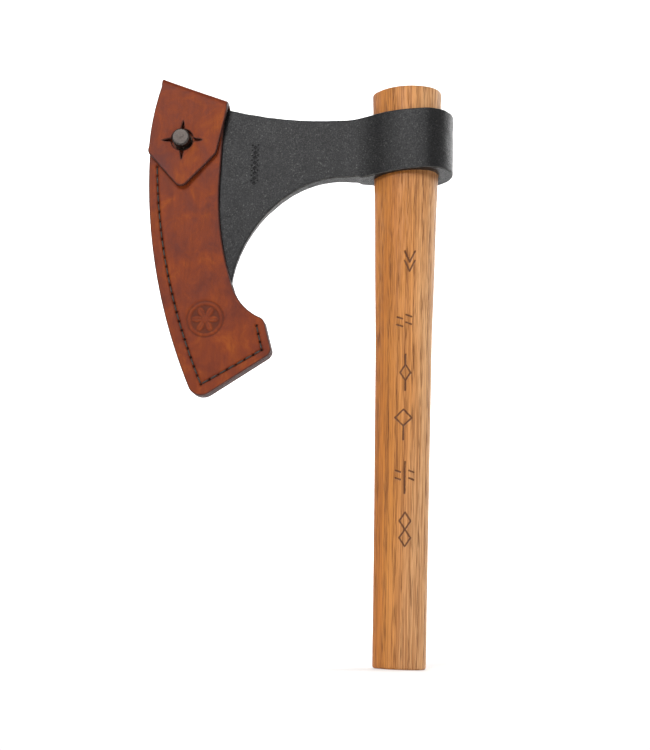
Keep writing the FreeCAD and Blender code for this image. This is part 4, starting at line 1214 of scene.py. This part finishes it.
def make_stud(steel):
    """Closing stud: flange, neck and a domed head with a soft chamfer, dented and worn by tumbling."""
    mesh = lathe("stud", STUD_PROFILE, -FRONT_FACE, 72)
    points, normals = read_points(mesh)
    dents = 0.07 * field(points, (2.2, 2.2, 2.2), 41) + 0.04 * field(points, (0.9, 0.9, 0.9), 42)
    write_points(mesh, points + normals * dents[:, None])
    radius = np.hypot(points[:, 0] - STUD[0], points[:, 2] - STUD[1])
    top = ease(-points[:, 1], FRONT_FACE + 7.6, FRONT_FACE + 8.6)
    set_value(mesh, "worn", top * (0.75 + 0.25 * ease(radius, 3.4, 5.2)))
    add_piece(mesh, steel, ["closure_stud"], "sheath")


def make_screw(steel):
    """Screw seen inside the pocket: a low domed head with a driving slot 0.5 mm deep, on a plain shank."""
    mesh = lathe("sheath_screw", SCREW_PROFILE, -WELT / 2, 64)
    points, unused_normals = read_points(mesh)
    across = np.abs(points[:, 0] - STUD[0])
    slot = (1 - ease(across, 0.45, 0.62)) * (points[:, 1] > -WELT / 2 - 0.3)
    points[:, 1] -= 0.5 * slot
    write_points(mesh, points)
    set_value(mesh, "worn", 0.6 * (1 - slot))
    add_piece(mesh, steel, ["stud_screw"], "sheath")


# ---------------------------------------------------------------- stage

def make_backdrop():
    """Matt white paper: a floor that turns up along a quarter circle into a wall behind."""
    turn = np.linspace(0, math.pi / 2, 24)
    curve_end = CURVE_FROM + CURVE_SIZE
    depth = np.concatenate([[FLOOR_FRONT, FLOOR_MID], CURVE_FROM + CURVE_SIZE * np.sin(turn), [curve_end]])
    height = np.concatenate([[0, 0], CURVE_SIZE - CURVE_SIZE * np.cos(turn), [WALL_TOP]])
    side = np.linspace(-WALL_HALF, WALL_HALF, 12)
    points = np.stack(np.broadcast_arrays(side, depth[:, None], height[:, None]), -1).reshape(-1, 3)
    mesh = make_mesh("backdrop", points, grid_quads(depth.size, side.size))
    paper = new_material("matt_white_paper", {"Base Color": srgb("#FBFBFB"), "Roughness": 0.9})[0]
    mesh.materials.append(paper)
    backdrop = bpy.data.objects.new("backdrop", mesh)
    bpy.context.scene.collection.objects.link(backdrop)


def make_lights():
    """A pale sky all round, and square soft boxes that face their points."""
    world = bpy.data.worlds.new("studio")
    world.use_nodes = True
    background = world.node_tree.nodes["Background"]
    background.inputs["Color"].default_value = grey(1.0)
    background.inputs["Strength"].default_value = WORLD_LIGHT
    bpy.context.scene.world = world
    for name, place, aim, size, power in LIGHTS:
        light = bpy.data.lights.new(name, "AREA")
        light.energy = power
        light.size = size
        lamp = bpy.data.objects.new(name, light)
        lamp.location = place
        lamp.rotation_mode = "QUATERNION"
        lamp.rotation_quaternion = (Vector(aim) - Vector(place)).to_track_quat("-Z", "Y")
        bpy.context.scene.collection.objects.link(lamp)


def make_camera():
    """A camera low in front, looking up along the handle."""
    lens = bpy.data.cameras.new("camera")
    lens.sensor_width = SENSOR
    lens.sensor_fit = "AUTO"
    lens.lens = LENS
    lens.clip_start = 0.01
    lens.clip_end = 50.0
    right = CAMERA_FORWARD.cross(CAMERA_UP).normalized()
    turn = Matrix((right, right.cross(CAMERA_FORWARD), -CAMERA_FORWARD)).transposed()
    camera = bpy.data.objects.new("camera", lens)
    camera.matrix_world = Matrix.Translation(CAMERA_PLACE) @ turn.to_4x4()
    bpy.context.scene.collection.objects.link(camera)
    bpy.context.scene.camera = camera


make_backdrop()
make_lights()
make_camera()
make_handle()
make_head()
hide_look, thread_look, stud_look = oiled_leather(), waxed_thread(), tumbled_steel()
make_front_panel(hide_look)
make_hide(hide_look)
make_welt()
make_stitches("front_stitches", -FRONT_FACE, -1, "seam_front_thread", thread_look)
make_stitches("back_stitches", FRONT_FACE, 1, "seam_back_thread", thread_look)
make_stud(stud_look)
make_screw(stud_look)
bpy.context.scene.view_settings.view_transform = "Standard"
